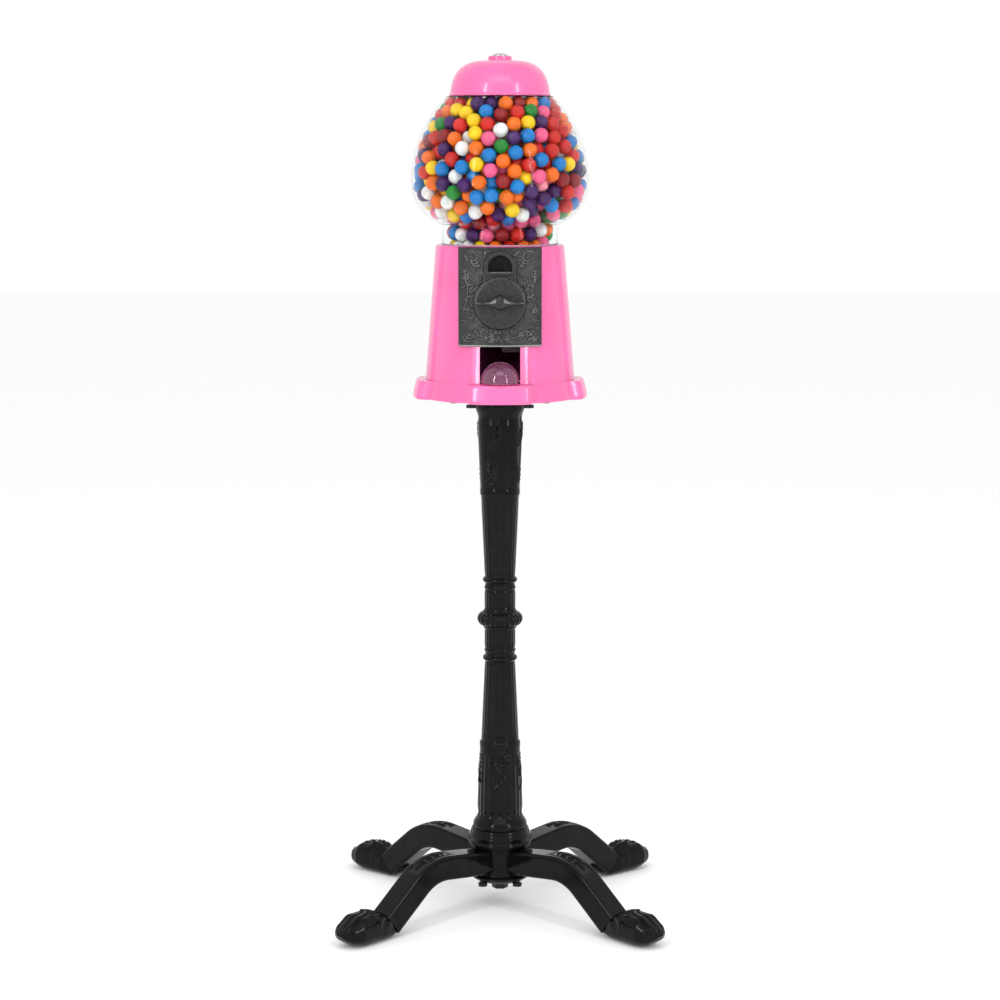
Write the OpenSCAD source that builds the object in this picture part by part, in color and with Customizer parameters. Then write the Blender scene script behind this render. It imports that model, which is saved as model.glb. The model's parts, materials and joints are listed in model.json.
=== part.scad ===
// Gumball machine on a cast four-legged stand.
// Millimetres, +Z up, the front faces -Y, the origin is on the floor under the column's axis.

/* [Overall] */
// Height of the stand, up to the underside of the machine
stand_h = 570; // [480:5:680]
// Height of the machine's body above the stand
body_h = 166; // [160:1:200]

/* [Globe] */
// Largest radius of the glass globe
globe_r = 96; // [85:1:115]
// Radius of the collar under the globe
collar_r = 62.5; // [62:0.5:66]
// Thickness of the glass
glass_t = 3; // [2:0.5:4]
// Height from the bottom of the glass to its widest place
globe_low_h = 66; // [62:1:76]
// Height from the widest place to the lid's shoulder
globe_up_h = 91; // [75:1:105]
// Radius of the round underside of the globe
globe_low_r = 48; // [44:1:52]
// Radius of the arc of the globe's upper side
globe_up_r = 127; // [115:1:160]
// Outer radius of the glass neck inside the lid
neck_r = 50; // [46:1:50]
// Clearance between the gumballs and what holds them
fill_gap = 0.6; // [0.3:0.1:1.5]

/* [Lid] */
// Radius of the lid's rim
lid_r = 54.6; // [53.5:0.2:57]
// Height of the lid's dome
lid_h = 38; // [30:1:48]
// Wall of the lid
lid_wall = 2; // [1.5:0.1:2.4]
// Radius of the flat boss on the lid
lid_boss_r = 12.6; // [10:0.2:16]
// Radius of the head of the cap nut
lid_nut_r = 8.2; // [7:0.1:11]
// How far the cap nut stands above the boss
lid_nut_h = 3; // [2:0.5:6]

/* [Body] */
// Radius of the body at its top edge
body_top_r = 67; // [66.5:0.5:72]
// Radius of the body where it meets the flange
body_bottom_r = 78.5; // [74:0.5:84]
// Wall of the body
body_wall = 3; // [2:0.5:4]
// How far the side and back pilasters stand proud
pilaster_proud = 2.5; // [1:0.5:4]
// Width of the side and back pilasters
pilaster_w = 62; // [40:1:70]
// Radius of the foot flange
flange_r = 85; // [82:0.5:90]
// Radius of the four lobes of the flange
lobe_r = 95; // [92:0.5:104]
// Width of the four lobes
lobe_w = 64; // [50:1:74]
// Height of the flange
flange_h = 20; // [14:1:20]
// Radius of the flange's rounded edge
flange_edge_r = 6; // [3:0.5:6.5]
// Thickness of the bottom plate
bottom_t = 3; // [2:0.5:4]

/* [Coin plate] */
// Width of the coin plate
plate_w = 88.4; // [86:0.2:92]
// Height of the coin plate
plate_h = 105; // [102:1:110]
// Radius of the plate's curved front
plate_r = 81.5; // [80.5:0.5:84]
// Thickness of the coin plate
plate_t = 3.8; // [3:0.2:4]
// Width of the coin window
window_w = 24.8; // [22:0.2:27]
// Diameter of the handle's round disc
disc_d = 54; // [44:1:56]
// Span of the handle's wings
wing_span = 52.4; // [40:0.2:64]
// How far the handle stands out from its disc
handle_out = 14; // [10:1:22]

/* [Mechanism] */
// Radius of the handle shaft
shaft_r = 4; // [3.5:0.1:4.5]
// Running clearance of a shaft in its bore
run_gap = 0.06; // [0.03:0.01:0.09]
// Radius of the coin wheel
coin_wheel_r = 36.5; // [34:0.5:37]
// Thickness of the coin wheel
coin_wheel_t = 2.5; // [2:0.5:3]
// Mean radius of the crown of teeth
crown_r = 49; // [48:0.5:49.5]
// Number of ball pockets in the gumball wheel
pockets = 5; // [3:1:6]
// Diameter of a gumball
ball_d = 15.5; // [14:0.1:16]
// Thickness of the gumball wheel
wheel_t = 18; // [17:0.5:20]
// Inner radius of the hopper bowl
hopper_r = 55.5; // [55.2:0.1:56]
// Wall of the hopper bowl
hopper_wall = 2; // [1.5:0.1:2.2]

/* [Chute] */
// Width of the chute's opening
chute_w = 43; // [41:0.5:46]
// Height of the chute's opening
chute_h = 40; // [32:1:40]
// Radius of the clear dome of the chute door
door_r = 20.5; // [17:0.1:20.5]
// Wall of the chute door
door_wall = 1.6; // [1.2:0.1:2]

/* [Rods] */
// Radius of the machine's centre rod
center_rod_r = 4; // [3:0.1:4.2]
// Radius of the stand's tie rod
stand_rod_r = 5; // [4:0.1:6]

/* [Column] */
// Radius of the column's thick ring
ring_r = 25; // [22:0.5:30]
// Height of the column's thick ring
ring_h = 18; // [14:1:22]
// Height of the thick ring above the floor, at its middle
ring_z = 325; // [300:1:350]
// Radius of the columns next to the thick ring
column_neck_r = 17; // [15.5:0.1:19]
// Radius of the columns below their step
column_step_r = 20.7; // [19:0.1:22]
// Radius of the upper column's band at its top
upper_band_r = 24.6; // [23:0.1:27]
// Radius of the lower column's band at its bottom
lower_band_r = 25.1; // [23:0.1:27]
// Wall of the hollow columns
column_wall = 5; // [3:0.5:6]

/* [Hub and legs] */
// Height of the hub's underside above the floor
hub_z = 30; // [30:1:34]
// Radius of the hub's ring
hub_r = 36; // [34:0.5:42]
// Radius of the drum between the legs
drum_r = 19.5; // [19:0.1:21]
// Radius of the disc under the legs
hub_disc_r = 33; // [31:0.5:38]
// Distance from the column's axis to the tip of a foot
foot_reach = 240; // [215:1:280]
// Width of a leg
leg_w = 28; // [24:0.5:28]
// Thickness of a leg
leg_t = 27; // [22:0.5:27]
// Width of a foot
foot_w = 38; // [30:0.5:46]
// Height of a foot
foot_h = 34; // [30:1:38]

/* [Hidden] */
$fn = 96;

eps = 0.01;
big = 400;
corners = [45:90:315];
seat_gap = 0.3;
fit_gap = 0.05;

// Colours
pink = "#f06cbe";
black = "#15161a";
pewter = "#5b5f5c";
steel = "#b9bcc0";
clear = [0.85, 0.93, 0.97, 0.35];

// Heights of the machine
base_z = stand_h;
top_z = base_z + body_h;
flange_top_z = base_z + flange_h;
gasket_t = 1;
globe_z = top_z + gasket_t;
wide_z = globe_z + globe_low_h;
shoulder_z = wide_z + globe_up_h;
lid_z = shoulder_z + seat_gap;
lid_top_z = lid_z + lid_h;
lid_boss_h = 4.3;
boss_top_z = lid_top_z + lid_boss_h;

// Coin mechanism, from the front to the back
plate_top_z = top_z - 0.5;
plate_bottom_z = plate_top_z - plate_h;
handle_z = top_z - 59;
coin_r = 12;
coin_z = handle_z + coin_wheel_r + 0.9;
boss_face_y = -(plate_r + 3);
disc_t = 2.2;
disc_y = boss_face_y - seat_gap - disc_t;
plate_inner_r = plate_r - plate_t;
pad_r = plate_inner_r - 0.2;
coin_wheel_y = -67.5;
frame_y = -63.5;
frame_t = 3;
frame_w = 76;
frame_bottom_z = handle_z - 39;
frame_top_z = handle_z + 50;
tunnel_w = 79;
tunnel_bottom_z = handle_z - 41;
tunnel_top_z = handle_z + 51.5;
post_x = 33;
post_drop = 33;
post_rise = 46;
post_r = 3.5;

// Gears: the crown and the drive gear share one tooth pitch
gear_teeth = 8;
crown_teeth = 40;
tooth_pitch = 2 * PI * crown_r / crown_teeth;
gear_r = tooth_pitch * gear_teeth / (2 * PI);
crown_w = 5;
tooth_up = 1.9;
tooth_down = 2.3;
pitch_z = handle_z + gear_r;
crown_h = tooth_up + tooth_down + 0.9;
wheel_z = pitch_z + crown_h - tooth_up;

// Hopper
floor_t = 3.2;
floor_gap = 0.3;
groove_z = pitch_z - tooth_up - 2;
hub_tube_r = 9;
pocket_r = ball_d / 2 + 1.8;
pocket_ring_r = 33;
drop_angle = -45;
spout_r = ball_d / 2 + 2.6;
spout_wall = 2;
hopper_out_r = hopper_r + hopper_wall;
hopper_lip_r = hopper_out_r + 3.5;
hopper_lip_t = 3;
cover_z = wheel_z + wheel_t + 0.6;
cover_t = 2.4;
cover_tab_h = 14;
fill_z = cover_z + cover_t + fill_gap;

// Chute
sill_z = flange_top_z + 1;
chute_top_z = sill_z + 43;
chute_floor_t = 2.5;
chute_wall = 2;
door_y = -74;
door_pin_r = 1.2;
door_boss_r = 2.4;
door_z = sill_z + door_boss_r + 0.4;
pan_back_y = door_y + door_r + 1;
chute_slope = 33;
spout_x = pocket_ring_r * cos(drop_angle);
spout_y = pocket_ring_r * sin(drop_angle);

// Column and hub
saddle_t = 6;
saddle_r = 56;
saddle_boss_r = 14;
saddle_boss_h = 18;
disc_h = 7;
hub_top_z = hub_z + 60;
ring_bottom_z = ring_z - ring_h / 2;
ring_top_z = ring_z + ring_h / 2;
column_top_z = base_z - saddle_t;
hub_ring_z = hub_z + 40;
spigot_h = 6;
rod_gap = 0.5;

// Legs
leg_z = hub_z + 24;
knee_r = 96;
knee_rise = 8;
bend_r = 40;
leg_fall = 38.5;
leg_chamfer = 7;
leg_screw_r = 3;
leg_screw_at = 27;
joint_lap = 0.2;

// ---------- Helpers ----------

function arc(cx, cy, r, a0, a1, n = 12) =
    [for (i = [0:n]) [cx + r * cos(a0 + (a1 - a0) * i / n), cy + r * sin(a0 + (a1 - a0) * i / n)]];

// Outline of a domed cap of radius r and height h, from the rim to the axis
function dome(r, h, z, n = 16) =
    [for (i = [0:n]) [r * pow(cos(90 * i / n), 0.5), z + h * sin(90 * i / n)]];

module revolve(points) {
    rotate_extrude() polygon(points);
}

module tube(r_out, r_in, z0, z1) {
    translate([0, 0, z0]) difference() {
        cylinder(r = r_out, h = z1 - z0);
        translate([0, 0, -1]) cylinder(r = r_in, h = z1 - z0 + 2);
    }
}

// Cylinder along Y from y0 to y1 at x, z
module rod_y(r, x, z, y0, y1) {
    translate([x, y0, z]) rotate([-90, 0, 0]) cylinder(r = r, h = y1 - y0);
}

module rod_x(r, y, z, x0, x1) {
    translate([x0, y, z]) rotate([0, 90, 0]) cylinder(r = r, h = x1 - x0);
}

module rod_z(r, x, y, z0, z1) {
    translate([x, y, z0]) cylinder(r = r, h = z1 - z0);
}

module box(x0, x1, y0, y1, z0, z1) {
    translate([x0, y0, z0]) cube([x1 - x0, y1 - y0, z1 - z0]);
}

module hex_nut(r, bore, x, y, z0, z1) {
    translate([x, y, z0]) difference() {
        cylinder(r = r, h = z1 - z0, $fn = 6);
        translate([0, 0, -1]) cylinder(r = bore, h = z1 - z0 + 2);
    }
}

// Upright cylinder at a distance from the axis and an angle round it
module rod_at(r, at, angle, z0, z1) {
    rod_z(r, at * cos(angle), at * sin(angle), z0, z1);
}

// Upright screw with its head below
module screw_up(r, head_r, head_t, at, angle, head_z, tip_z) {
    rod_at(head_r, at, angle, head_z, head_z + head_t);
    rod_at(r, at, angle, head_z + head_t - eps, tip_z);
}

// ---------- Lid ----------

module lid() {
    rim_h = 2.6;
    skirt_r = lid_r - 1;
    color(pink) difference() {
        union() {
            revolve(concat([[0, lid_z]], dome(skirt_r, lid_h, lid_z)));
            rod_z(lid_r, 0, 0, lid_z, lid_z + rim_h);
            rod_z(lid_boss_r, 0, 0, lid_top_z - 3, boss_top_z);
        }
        revolve(concat([[0, lid_z - 1], [skirt_r - lid_wall, lid_z - 1]],
            dome(skirt_r - lid_wall, lid_h - lid_wall - 3, lid_z)));
        rod_z(lid_nut_barrel_r + 0.1, 0, 0, lid_z, boss_top_z + 1);
    }
}

lid_nut_barrel_r = 6;
lid_nut_barrel_h = 13;

module lid_nut() {
    head_z = boss_top_z + 0.1;
    color(steel) difference() {
        union() {
            revolve([[0, head_z], [lid_nut_r, head_z], [lid_nut_r, head_z + lid_nut_h * 0.4],
                [lid_nut_r * 0.86, head_z + lid_nut_h * 0.75], [lid_nut_r * 0.5, head_z + lid_nut_h],
                [0, head_z + lid_nut_h]]);
            rod_z(lid_nut_barrel_r, 0, 0, boss_top_z - lid_nut_barrel_h, head_z + eps);
        }
        rod_z(center_rod_r + 0.1, 0, 0, boss_top_z - lid_nut_barrel_h - 1, boss_top_z - 1);
    }
}

// ---------- Globe ----------

low_c = globe_r - globe_low_r;
up_c = globe_r - globe_up_r;
neck_h = 5;

// Outline of the glass from the collar's foot to the shoulder, moved inwards by t
function globe_side(t) = concat(
    arc(low_c, wide_z, globe_low_r - t, -acos((collar_r - t - low_c) / (globe_low_r - t)), 0, 14),
    arc(up_c, wide_z, globe_up_r - t, 0, asin((globe_up_h - t) / (globe_up_r - t)), 16));

module globe() {
    foot_r = collar_r - glass_t;
    color(clear) difference() {
        revolve(concat([[0, globe_z], [collar_r, globe_z]], globe_side(0),
            [[neck_r, shoulder_z], [neck_r, shoulder_z + neck_h], [0, shoulder_z + neck_h]]));
        revolve(concat([[0, globe_z - 1], [foot_r, globe_z - 1]], globe_side(glass_t),
            [[neck_r - glass_t, shoulder_z - glass_t], [neck_r - glass_t, shoulder_z + neck_h + 1],
                [0, shoulder_z + neck_h + 1]]));
    }
}

module globe_gasket() {
    color("#c9d3da") tube(collar_r + 0.6, hopper_out_r, top_z, globe_z);
}

// One solid of the whole load, round the centre rod
module gumballs() {
    t = glass_t + fill_gap;
    bowl_r = hopper_r - cover_t - 0.3 - fill_gap;
    color("#e0503c") difference() {
        revolve(concat([[0, fill_z], [bowl_r, fill_z], [bowl_r, cover_z + cover_tab_h + fill_gap],
            [hopper_r - fill_gap, top_z + fill_gap], [collar_r - t, globe_z + 3]], globe_side(t),
            [[neck_r - t, shoulder_z - t], [0, shoulder_z - t]]));
        rod_z(center_rod_r + fill_gap, 0, 0, fill_z - 1, shoulder_z);
    }
}

// ---------- Centre rod ----------

rod_boss_r = 9;
rod_boss_h = 12;
rod_nut_h = 6;

module center_rod() {
    color(steel) rod_z(center_rod_r, 0, 0, base_z + 0.5, boss_top_z - 2);
}

module rod_nut() {
    z0 = base_z + bottom_t + rod_boss_h;
    color(steel) hex_nut(7.5, center_rod_r + fit_gap, 0, 0, z0, z0 + rod_nut_h);
}

// ---------- Body ----------

// Radius of the body's cone at a height
function cone_r(z) =
    body_bottom_r + (body_top_r - body_bottom_r) * (z - flange_top_z) / (top_z - flange_top_z);

bottom_screw_at = 70;
bottom_screw_r = 2;
bottom_plate_r = body_bottom_r - 1;

module body_cone(extra) {
    edge = 3;
    r0 = body_bottom_r + extra;
    r1 = body_top_r + extra;
    revolve(concat([[0, base_z + eps], [r0, base_z + eps], [r0, flange_top_z]],
        arc(r1 - edge, top_z - edge, edge, 5, 90, 6), [[0, top_z]]));
}

// Rounded foot flange of one radius
module flange(r) {
    e = flange_edge_r;
    foot_e = 2;
    foot = arc(r - foot_e, base_z + foot_e, foot_e, -60, 0, 3);
    shoulder = arc(r - e, flange_top_z - e, e, 0, 90, 8);
    revolve(concat([[0, base_z], [r - foot_e, base_z]], foot, shoulder, [[0, flange_top_z]]));
}

module body_outside() {
    step = 9;
    body_cone(0);
    // side and back pilasters
    intersection() {
        body_cone(pilaster_proud);
        union() {
            box(-big, big, -pilaster_w / 2, pilaster_w / 2, base_z, top_z);
            box(-pilaster_w / 2, pilaster_w / 2, 0, big, base_z, top_z);
        }
    }
    // front pilaster with one step on each side of the chute
    for (i = [0, 1]) {
        intersection() {
            body_cone(pilaster_proud * (i + 1) / 2 + i);
            box(-chute_w / 2 - (2 - i) * step, chute_w / 2 + (2 - i) * step, -big, 0, base_z,
                plate_bottom_z - 0.2);
        }
    }
    // seat of the coin plate
    intersection() {
        rod_z(pad_r, 0, 0, plate_bottom_z - 1, plate_top_z - 1);
        box(-plate_w / 2, plate_w / 2, -big, 0, plate_bottom_z - 1, plate_top_z - 1);
    }
    flange(flange_r);
    intersection() {
        flange(lobe_r);
        union() {
            box(-big, big, -lobe_w / 2, lobe_w / 2, base_z - 1, flange_top_z + 1);
            box(-lobe_w / 2, lobe_w / 2, -big, big, base_z - 1, flange_top_z + 1);
        }
    }
}

module body() {
    w = body_wall;
    deck_z = top_z - 7;
    plate_seat_z = base_z + bottom_t;
    color(pink) difference() {
        union() {
            difference() {
                body_outside();
                revolve([[0, base_z - 1], [bottom_plate_r + fit_gap, base_z - 1],
                    [bottom_plate_r + fit_gap, plate_seat_z], [body_bottom_r - w, plate_seat_z],
                    [body_bottom_r - w, flange_top_z], [cone_r(deck_z) - w, deck_z], [0, deck_z]]);
                // hole for the hopper, with a seat for its lip
                rod_z(hopper_out_r + 0.5, 0, 0, deck_z - 1, top_z + 1);
                rod_z(hopper_lip_r + 0.3, 0, 0, top_z - hopper_lip_t, top_z + 1);
            }
            // bosses for the bottom plate's screws
            for (a = corners) {
                intersection() {
                    rod_at(6, bottom_screw_at, a, plate_seat_z, flange_top_z);
                    rod_z(body_bottom_r - 1, 0, 0, base_z, flange_top_z);
                }
            }
        }
        for (a = corners) {
            rod_at(bottom_screw_r, bottom_screw_at, a, base_z, flange_top_z - 4);
        }
        // tunnel for the coin mechanism
        box(-tunnel_w / 2, tunnel_w / 2, -big, -49, tunnel_bottom_z, tunnel_top_z);
        for (x = [-1, 1], z = plate_screw_z) {
            rod_y(plate_screw_r, x * plate_screw_x, z, -big, -40);
        }
        // opening of the chute and the holes for the door's pins
        box(-chute_w / 2, chute_w / 2, -big, -60, sill_z, sill_z + chute_h);
        rod_x(door_pin_r + 0.02, door_y, door_z, -door_pin_x, door_pin_x);
    }
}

module bottom_plate() {
    color(black) difference() {
        union() {
            rod_z(bottom_plate_r, 0, 0, base_z, base_z + bottom_t);
            rod_z(rod_boss_r, 0, 0, base_z, base_z + bottom_t + rod_boss_h);
        }
        rod_z(center_rod_r + fit_gap, 0, 0, base_z - 1, base_z + bottom_t + rod_boss_h + 1);
        for (a = corners) {
            rod_at(bottom_screw_r + 0.2, bottom_screw_at, a, base_z - 1, base_z + bottom_t + 1);
            rod_at(saddle_screw_r + 0.2, saddle_screw_at, a, base_z - 1, base_z + bottom_t + 1);
        }
        for (x = [-1, 1]) {
            rod_z(1.7, x * chute_leg_x, chute_leg_y, base_z - 1, base_z + bottom_t + 1);
        }
    }
}

module bottom_screws() {
    head_t = 2;
    color(steel) for (a = corners) {
        screw_up(bottom_screw_r - fit_gap, 3.6, head_t, bottom_screw_at, a, base_z - head_t,
            flange_top_z - 5);
    }
}

// ---------- Hopper and gumball wheel ----------

module hopper() {
    step_r = crown_r - crown_w / 2 - 1;
    floor_top = wheel_z - floor_gap;
    color("#d9dde0") difference() {
        union() {
            revolve([[0, floor_top - floor_t], [step_r - 2, floor_top - floor_t],
                [step_r - 2, groove_z - 3], [hopper_out_r, groove_z - 3],
                [hopper_out_r, top_z - hopper_lip_t], [hopper_lip_r, top_z - hopper_lip_t],
                [hopper_lip_r, top_z], [hopper_r, top_z],
                [hopper_r, groove_z], [step_r, groove_z], [step_r, floor_top], [0, floor_top]]);
            rod_z(hub_tube_r, 0, 0, floor_top - floor_t, wheel_z + wheel_t);
            rod_z(spout_r + spout_wall, spout_x, spout_y, chute_top_z + 1, floor_top - 0.5);
        }
        rod_z(spout_r, spout_x, spout_y, chute_top_z, floor_top + 1);
        rod_z(center_rod_r + rod_gap, 0, 0, base_z, top_z);
        // slot for the drive gear
        box(-gear_slot_w / 2, gear_slot_w / 2, -crown_r - gear_t / 2 - 1, -crown_r + gear_t / 2 + 1,
            groove_z - 4, groove_z + 1);
        // channel for the handle's shaft
        rod_y(shaft_r + 1, 0, handle_z, -big, -crown_r);
        rotate([0, 0, drop_angle]) rod_x(cover_screw_r, 0, cover_screw_z, hopper_r - 1, hopper_lip_r);
    }
}

gear_t = 5;
gear_slot_w = 2 * (gear_r + tooth_up + 1.2);

// One crown tooth: a straight bar that narrows towards its tip
module crown_tooth() {
    w = tooth_pitch * 0.36;
    tip = tooth_up;
    root = wheel_z - pitch_z + eps;
    slope = 0.42;
    translate([0, -crown_r + crown_w / 2, pitch_z]) rotate([90, 0, 0]) linear_extrude(crown_w)
        polygon([[-w / 2 + slope * tip, -tip], [w / 2 - slope * tip, -tip], [w / 2 + slope * root, root],
            [-w / 2 - slope * root, root]]);
}

module gumball_wheel() {
    turn = 360 / pockets;
    color("#e8e9ea") difference() {
        union() {
            rod_z(hopper_r - 1, 0, 0, wheel_z, wheel_z + wheel_t);
            for (i = [0:crown_teeth - 1]) {
                rotate([0, 0, (i + 0.5) * 360 / crown_teeth]) crown_tooth();
            }
        }
        rod_z(hub_tube_r + run_gap, 0, 0, wheel_z - 1, wheel_z + wheel_t + 1);
        for (i = [0:pockets - 1]) {
            rod_at(pocket_r, pocket_ring_r, drop_angle + (i + 0.5) * turn, wheel_z - crown_h - 1,
                wheel_z + wheel_t + 1);
        }
    }
}

module drop_cover() {
    span = 64;
    tab_span = 16;
    color(steel) difference() {
        union() {
            rotate([0, 0, drop_angle - span / 2]) rotate_extrude(angle = span)
                translate([hub_tube_r + 6, cover_z]) square([hopper_r - hub_tube_r - 6.3, cover_t]);
            // tab that rises along the bowl's wall to its screw
            rotate([0, 0, drop_angle - tab_span / 2]) rotate_extrude(angle = tab_span)
                translate([hopper_r - 0.3 - cover_t, cover_z]) square([cover_t, cover_tab_h]);
        }
        rotate([0, 0, drop_angle]) rod_x(cover_screw_r, 0, cover_screw_z, hopper_r - 5, hopper_out_r);
    }
}

cover_screw_r = 1.5;
cover_screw_z = cover_z + cover_tab_h - 5;

module cover_screw() {
    head_x = hopper_out_r + 0.1;
    color(steel) rotate([0, 0, drop_angle]) {
        rod_x(cover_screw_r - fit_gap, 0, cover_screw_z, hopper_r - cover_t, head_x);
        rod_x(3, 0, cover_screw_z, head_x - eps, head_x + 1.8);
    }
}

// ---------- Coin mechanism ----------

plate_screw_x = tunnel_w / 4 + plate_w / 4;
plate_screw_z = [tunnel_bottom_z + 14, tunnel_top_z - 14];
plate_screw_r = 1.6;
plate_screw_head_r = 3;
plate_screw_head_t = 2;
// The heads bear on the inside of the body's wall where the upper screws pass it
plate_screw_head_y = fit_gap - sqrt(pow(cone_r(plate_screw_z[1]) - body_wall, 2)
    - pow(plate_screw_x + plate_screw_head_r, 2));

module arch(r, y0, y1, low) {
    rod_y(r, 0, coin_z, y0, y1);
    box(-r, r, y0, y1, coin_z - low, coin_z);
}

module coin_plate() {
    boss_r = disc_d / 2 + 1;
    color(pewter) difference() {
        union() {
            intersection() {
                rod_z(plate_r, 0, 0, plate_bottom_z, plate_top_z);
                box(-plate_w / 2, plate_w / 2, -big, 0, plate_bottom_z, plate_top_z);
            }
            rod_y(boss_r, 0, handle_z, boss_face_y, -plate_inner_r + 4);
            arch(window_w / 2 + 5, boss_face_y, -plate_inner_r + 4, coin_z - handle_z);
        }
        rod_z(plate_inner_r, 0, 0, plate_bottom_z - 1, plate_top_z + 1);
        arch(window_w / 2, boss_face_y - 1, 0, 4.4);
        rod_y(shaft_r + run_gap, 0, handle_z, boss_face_y - 1, 0);
        for (x = [-1, 1], z = plate_screw_z) {
            rod_y(plate_screw_r, x * plate_screw_x, z, -plate_r + 12, 0);
        }
    }
    // posts that carry the back frame
    color(pewter) for (x = [-1, 1], z = [-post_drop, post_rise]) {
        difference() {
            rod_y(post_r, x * post_x, handle_z + z, -plate_inner_r + 5, frame_y);
            rod_z(plate_inner_r + 8, 0, 0, plate_bottom_z, plate_bottom_z + 1);
            rod_y(1.5, x * post_x, handle_z + z, -plate_inner_r + 9, 0);
        }
    }
}

module plate_screws() {
    y1 = plate_screw_head_y;
    color(steel) for (x = [-1, 1], z = plate_screw_z) {
        rod_y(plate_screw_r - fit_gap, x * plate_screw_x, z, -plate_r + 13, y1);
        rod_y(plate_screw_head_r, x * plate_screw_x, z, y1, y1 + plate_screw_head_t);
    }
}

module mech_frame() {
    back = frame_y + frame_t;
    track_r = coin_wheel_r + 0.8;
    color(steel) difference() {
        union() {
            box(-frame_w / 2, frame_w / 2, frame_y, back, frame_bottom_z, frame_top_z);
            rod_y(track_r + 1.6, 0, handle_z, coin_wheel_y + 1.2, frame_y + 1);
        }
        rod_y(track_r, 0, handle_z, -big, frame_y);
        // the coin goes in at the top and falls out at the bottom
        box(-window_w / 2, window_w / 2, -big, frame_y, handle_z, big * 3);
        box(-window_w / 2, window_w / 2, -big, frame_y, 0, handle_z);
        rod_y(shaft_r + run_gap, 0, handle_z, -big, 0);
        for (x = [-1, 1], z = [-post_drop, post_rise]) {
            rod_y(1.7, x * post_x, handle_z + z, -big, 0);
        }
        rod_y(pawl_pin_r, pawl_x, pawl_z, -big, 0);
    }
}

module mech_screws() {
    back = frame_y + frame_t;
    color(steel) for (x = [-1, 1], z = [-post_drop, post_rise]) {
        rod_y(1.5 - fit_gap, x * post_x, handle_z + z, frame_y - 4, back);
        rod_y(3, x * post_x, handle_z + z, back, back + 2);
    }
}

module handle() {
    root = 9;
    tip = 4.5;
    half = wing_span / 2;
    hub_r = 6.5;
    y0 = disc_y - handle_out;
    color(pewter) difference() {
        union() {
            rod_y(disc_d / 2, 0, handle_z, disc_y, disc_y + disc_t);
            rod_y(hub_r, 0, handle_z, y0, disc_y + eps);
            translate([0, disc_y + eps, handle_z]) rotate([90, 0, 0]) linear_extrude(handle_out - 2)
                polygon([[-half, -tip / 2], [-half, tip / 2], [-hub_r, tip / 2],
                    [-hub_r / 2, root / 2 + 2], [hub_r / 2, root / 2 + 2], [hub_r, tip / 2],
                    [half, tip / 2], [half, -tip / 2], [hub_r / 2, -root / 2], [-hub_r / 2, -root / 2]]);
        }
        rod_y(shaft_r + 0.01, 0, handle_z, y0 + 3, 0);
    }
}

module shaft() {
    color(steel) rod_y(shaft_r, 0, handle_z, disc_y - handle_out + 3.5, -crown_r + gear_t / 2 + 0.4);
}

module coin_wheel() {
    color(steel) difference() {
        rod_y(coin_wheel_r, 0, handle_z, coin_wheel_y, coin_wheel_y + coin_wheel_t);
        rod_y(coin_r, 0, coin_z, coin_wheel_y - 1, coin_wheel_y + coin_wheel_t + 1);
        rod_y(shaft_r + 0.01, 0, handle_z, coin_wheel_y - 1, coin_wheel_y + coin_wheel_t + 1);
    }
}

ratchet_y = frame_y + frame_t + 0.3;
ratchet_t = 2;
ratchet_teeth = 12;
ratchet_tip_r = 14;
ratchet_root_r = 11.5;

module ratchet_wheel() {
    tooth = 360 / ratchet_teeth;
    // radius, and how far round its tooth each point lies
    tip = [ratchet_tip_r, 0];
    root = [ratchet_root_r, 0.08];
    color("#9a8a55") translate([0, ratchet_y + ratchet_t, handle_z]) rotate([90, 0, 0]) difference() {
        linear_extrude(ratchet_t) polygon([for (i = [0:ratchet_teeth - 1], point = [tip, root])
            point.x * [cos((i + point.y) * tooth), sin((i + point.y) * tooth)]]);
        translate([0, 0, -1]) cylinder(r = shaft_r + 0.01, h = ratchet_t + 2);
    }
}

pawl_angle = -20;
pawl_l = 16;
pawl_pin_r = 2;
pawl_x = (ratchet_tip_r + seat_gap) * cos(pawl_angle) - pawl_l * sin(pawl_angle);
pawl_z = handle_z + (ratchet_tip_r + seat_gap) * sin(pawl_angle) + pawl_l * cos(pawl_angle);

// The nose points down along the ratchet's rim and hovers just clear of its teeth
module pawl() {
    color("#9a8a55") translate([pawl_x, ratchet_y + ratchet_t, pawl_z]) rotate([90, 0, 0]) difference() {
        union() {
            rotate([0, 0, pawl_angle]) linear_extrude(ratchet_t)
                polygon([[0, -pawl_l], [3.2, -pawl_l + 3], [4, 0], [0, 3.9], [-2.5, 0], [0, -4]]);
            cylinder(r = 4, h = ratchet_t);
        }
        translate([0, 0, -1]) cylinder(r = pawl_pin_r + run_gap, h = ratchet_t + 2);
    }
}

module pawl_pin() {
    color(steel) {
        rod_y(pawl_pin_r, pawl_x, pawl_z, frame_y, ratchet_y + ratchet_t + 0.2);
        rod_y(3, pawl_x, pawl_z, ratchet_y + ratchet_t + 0.2, ratchet_y + ratchet_t + 1);
    }
}

// Leaf spring that stands on the frame and leans on the pawl's back
module pawl_spring() {
    leaf_x = pawl_x + 4.6;
    color(steel) {
        box(leaf_x, leaf_x + 0.5, ratchet_y, ratchet_y + ratchet_t, pawl_z - pawl_l + 2, pawl_z + 9);
        box(leaf_x, leaf_x + 5, frame_y + frame_t, ratchet_y + ratchet_t, pawl_z + 5, pawl_z + 9);
    }
}

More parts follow.
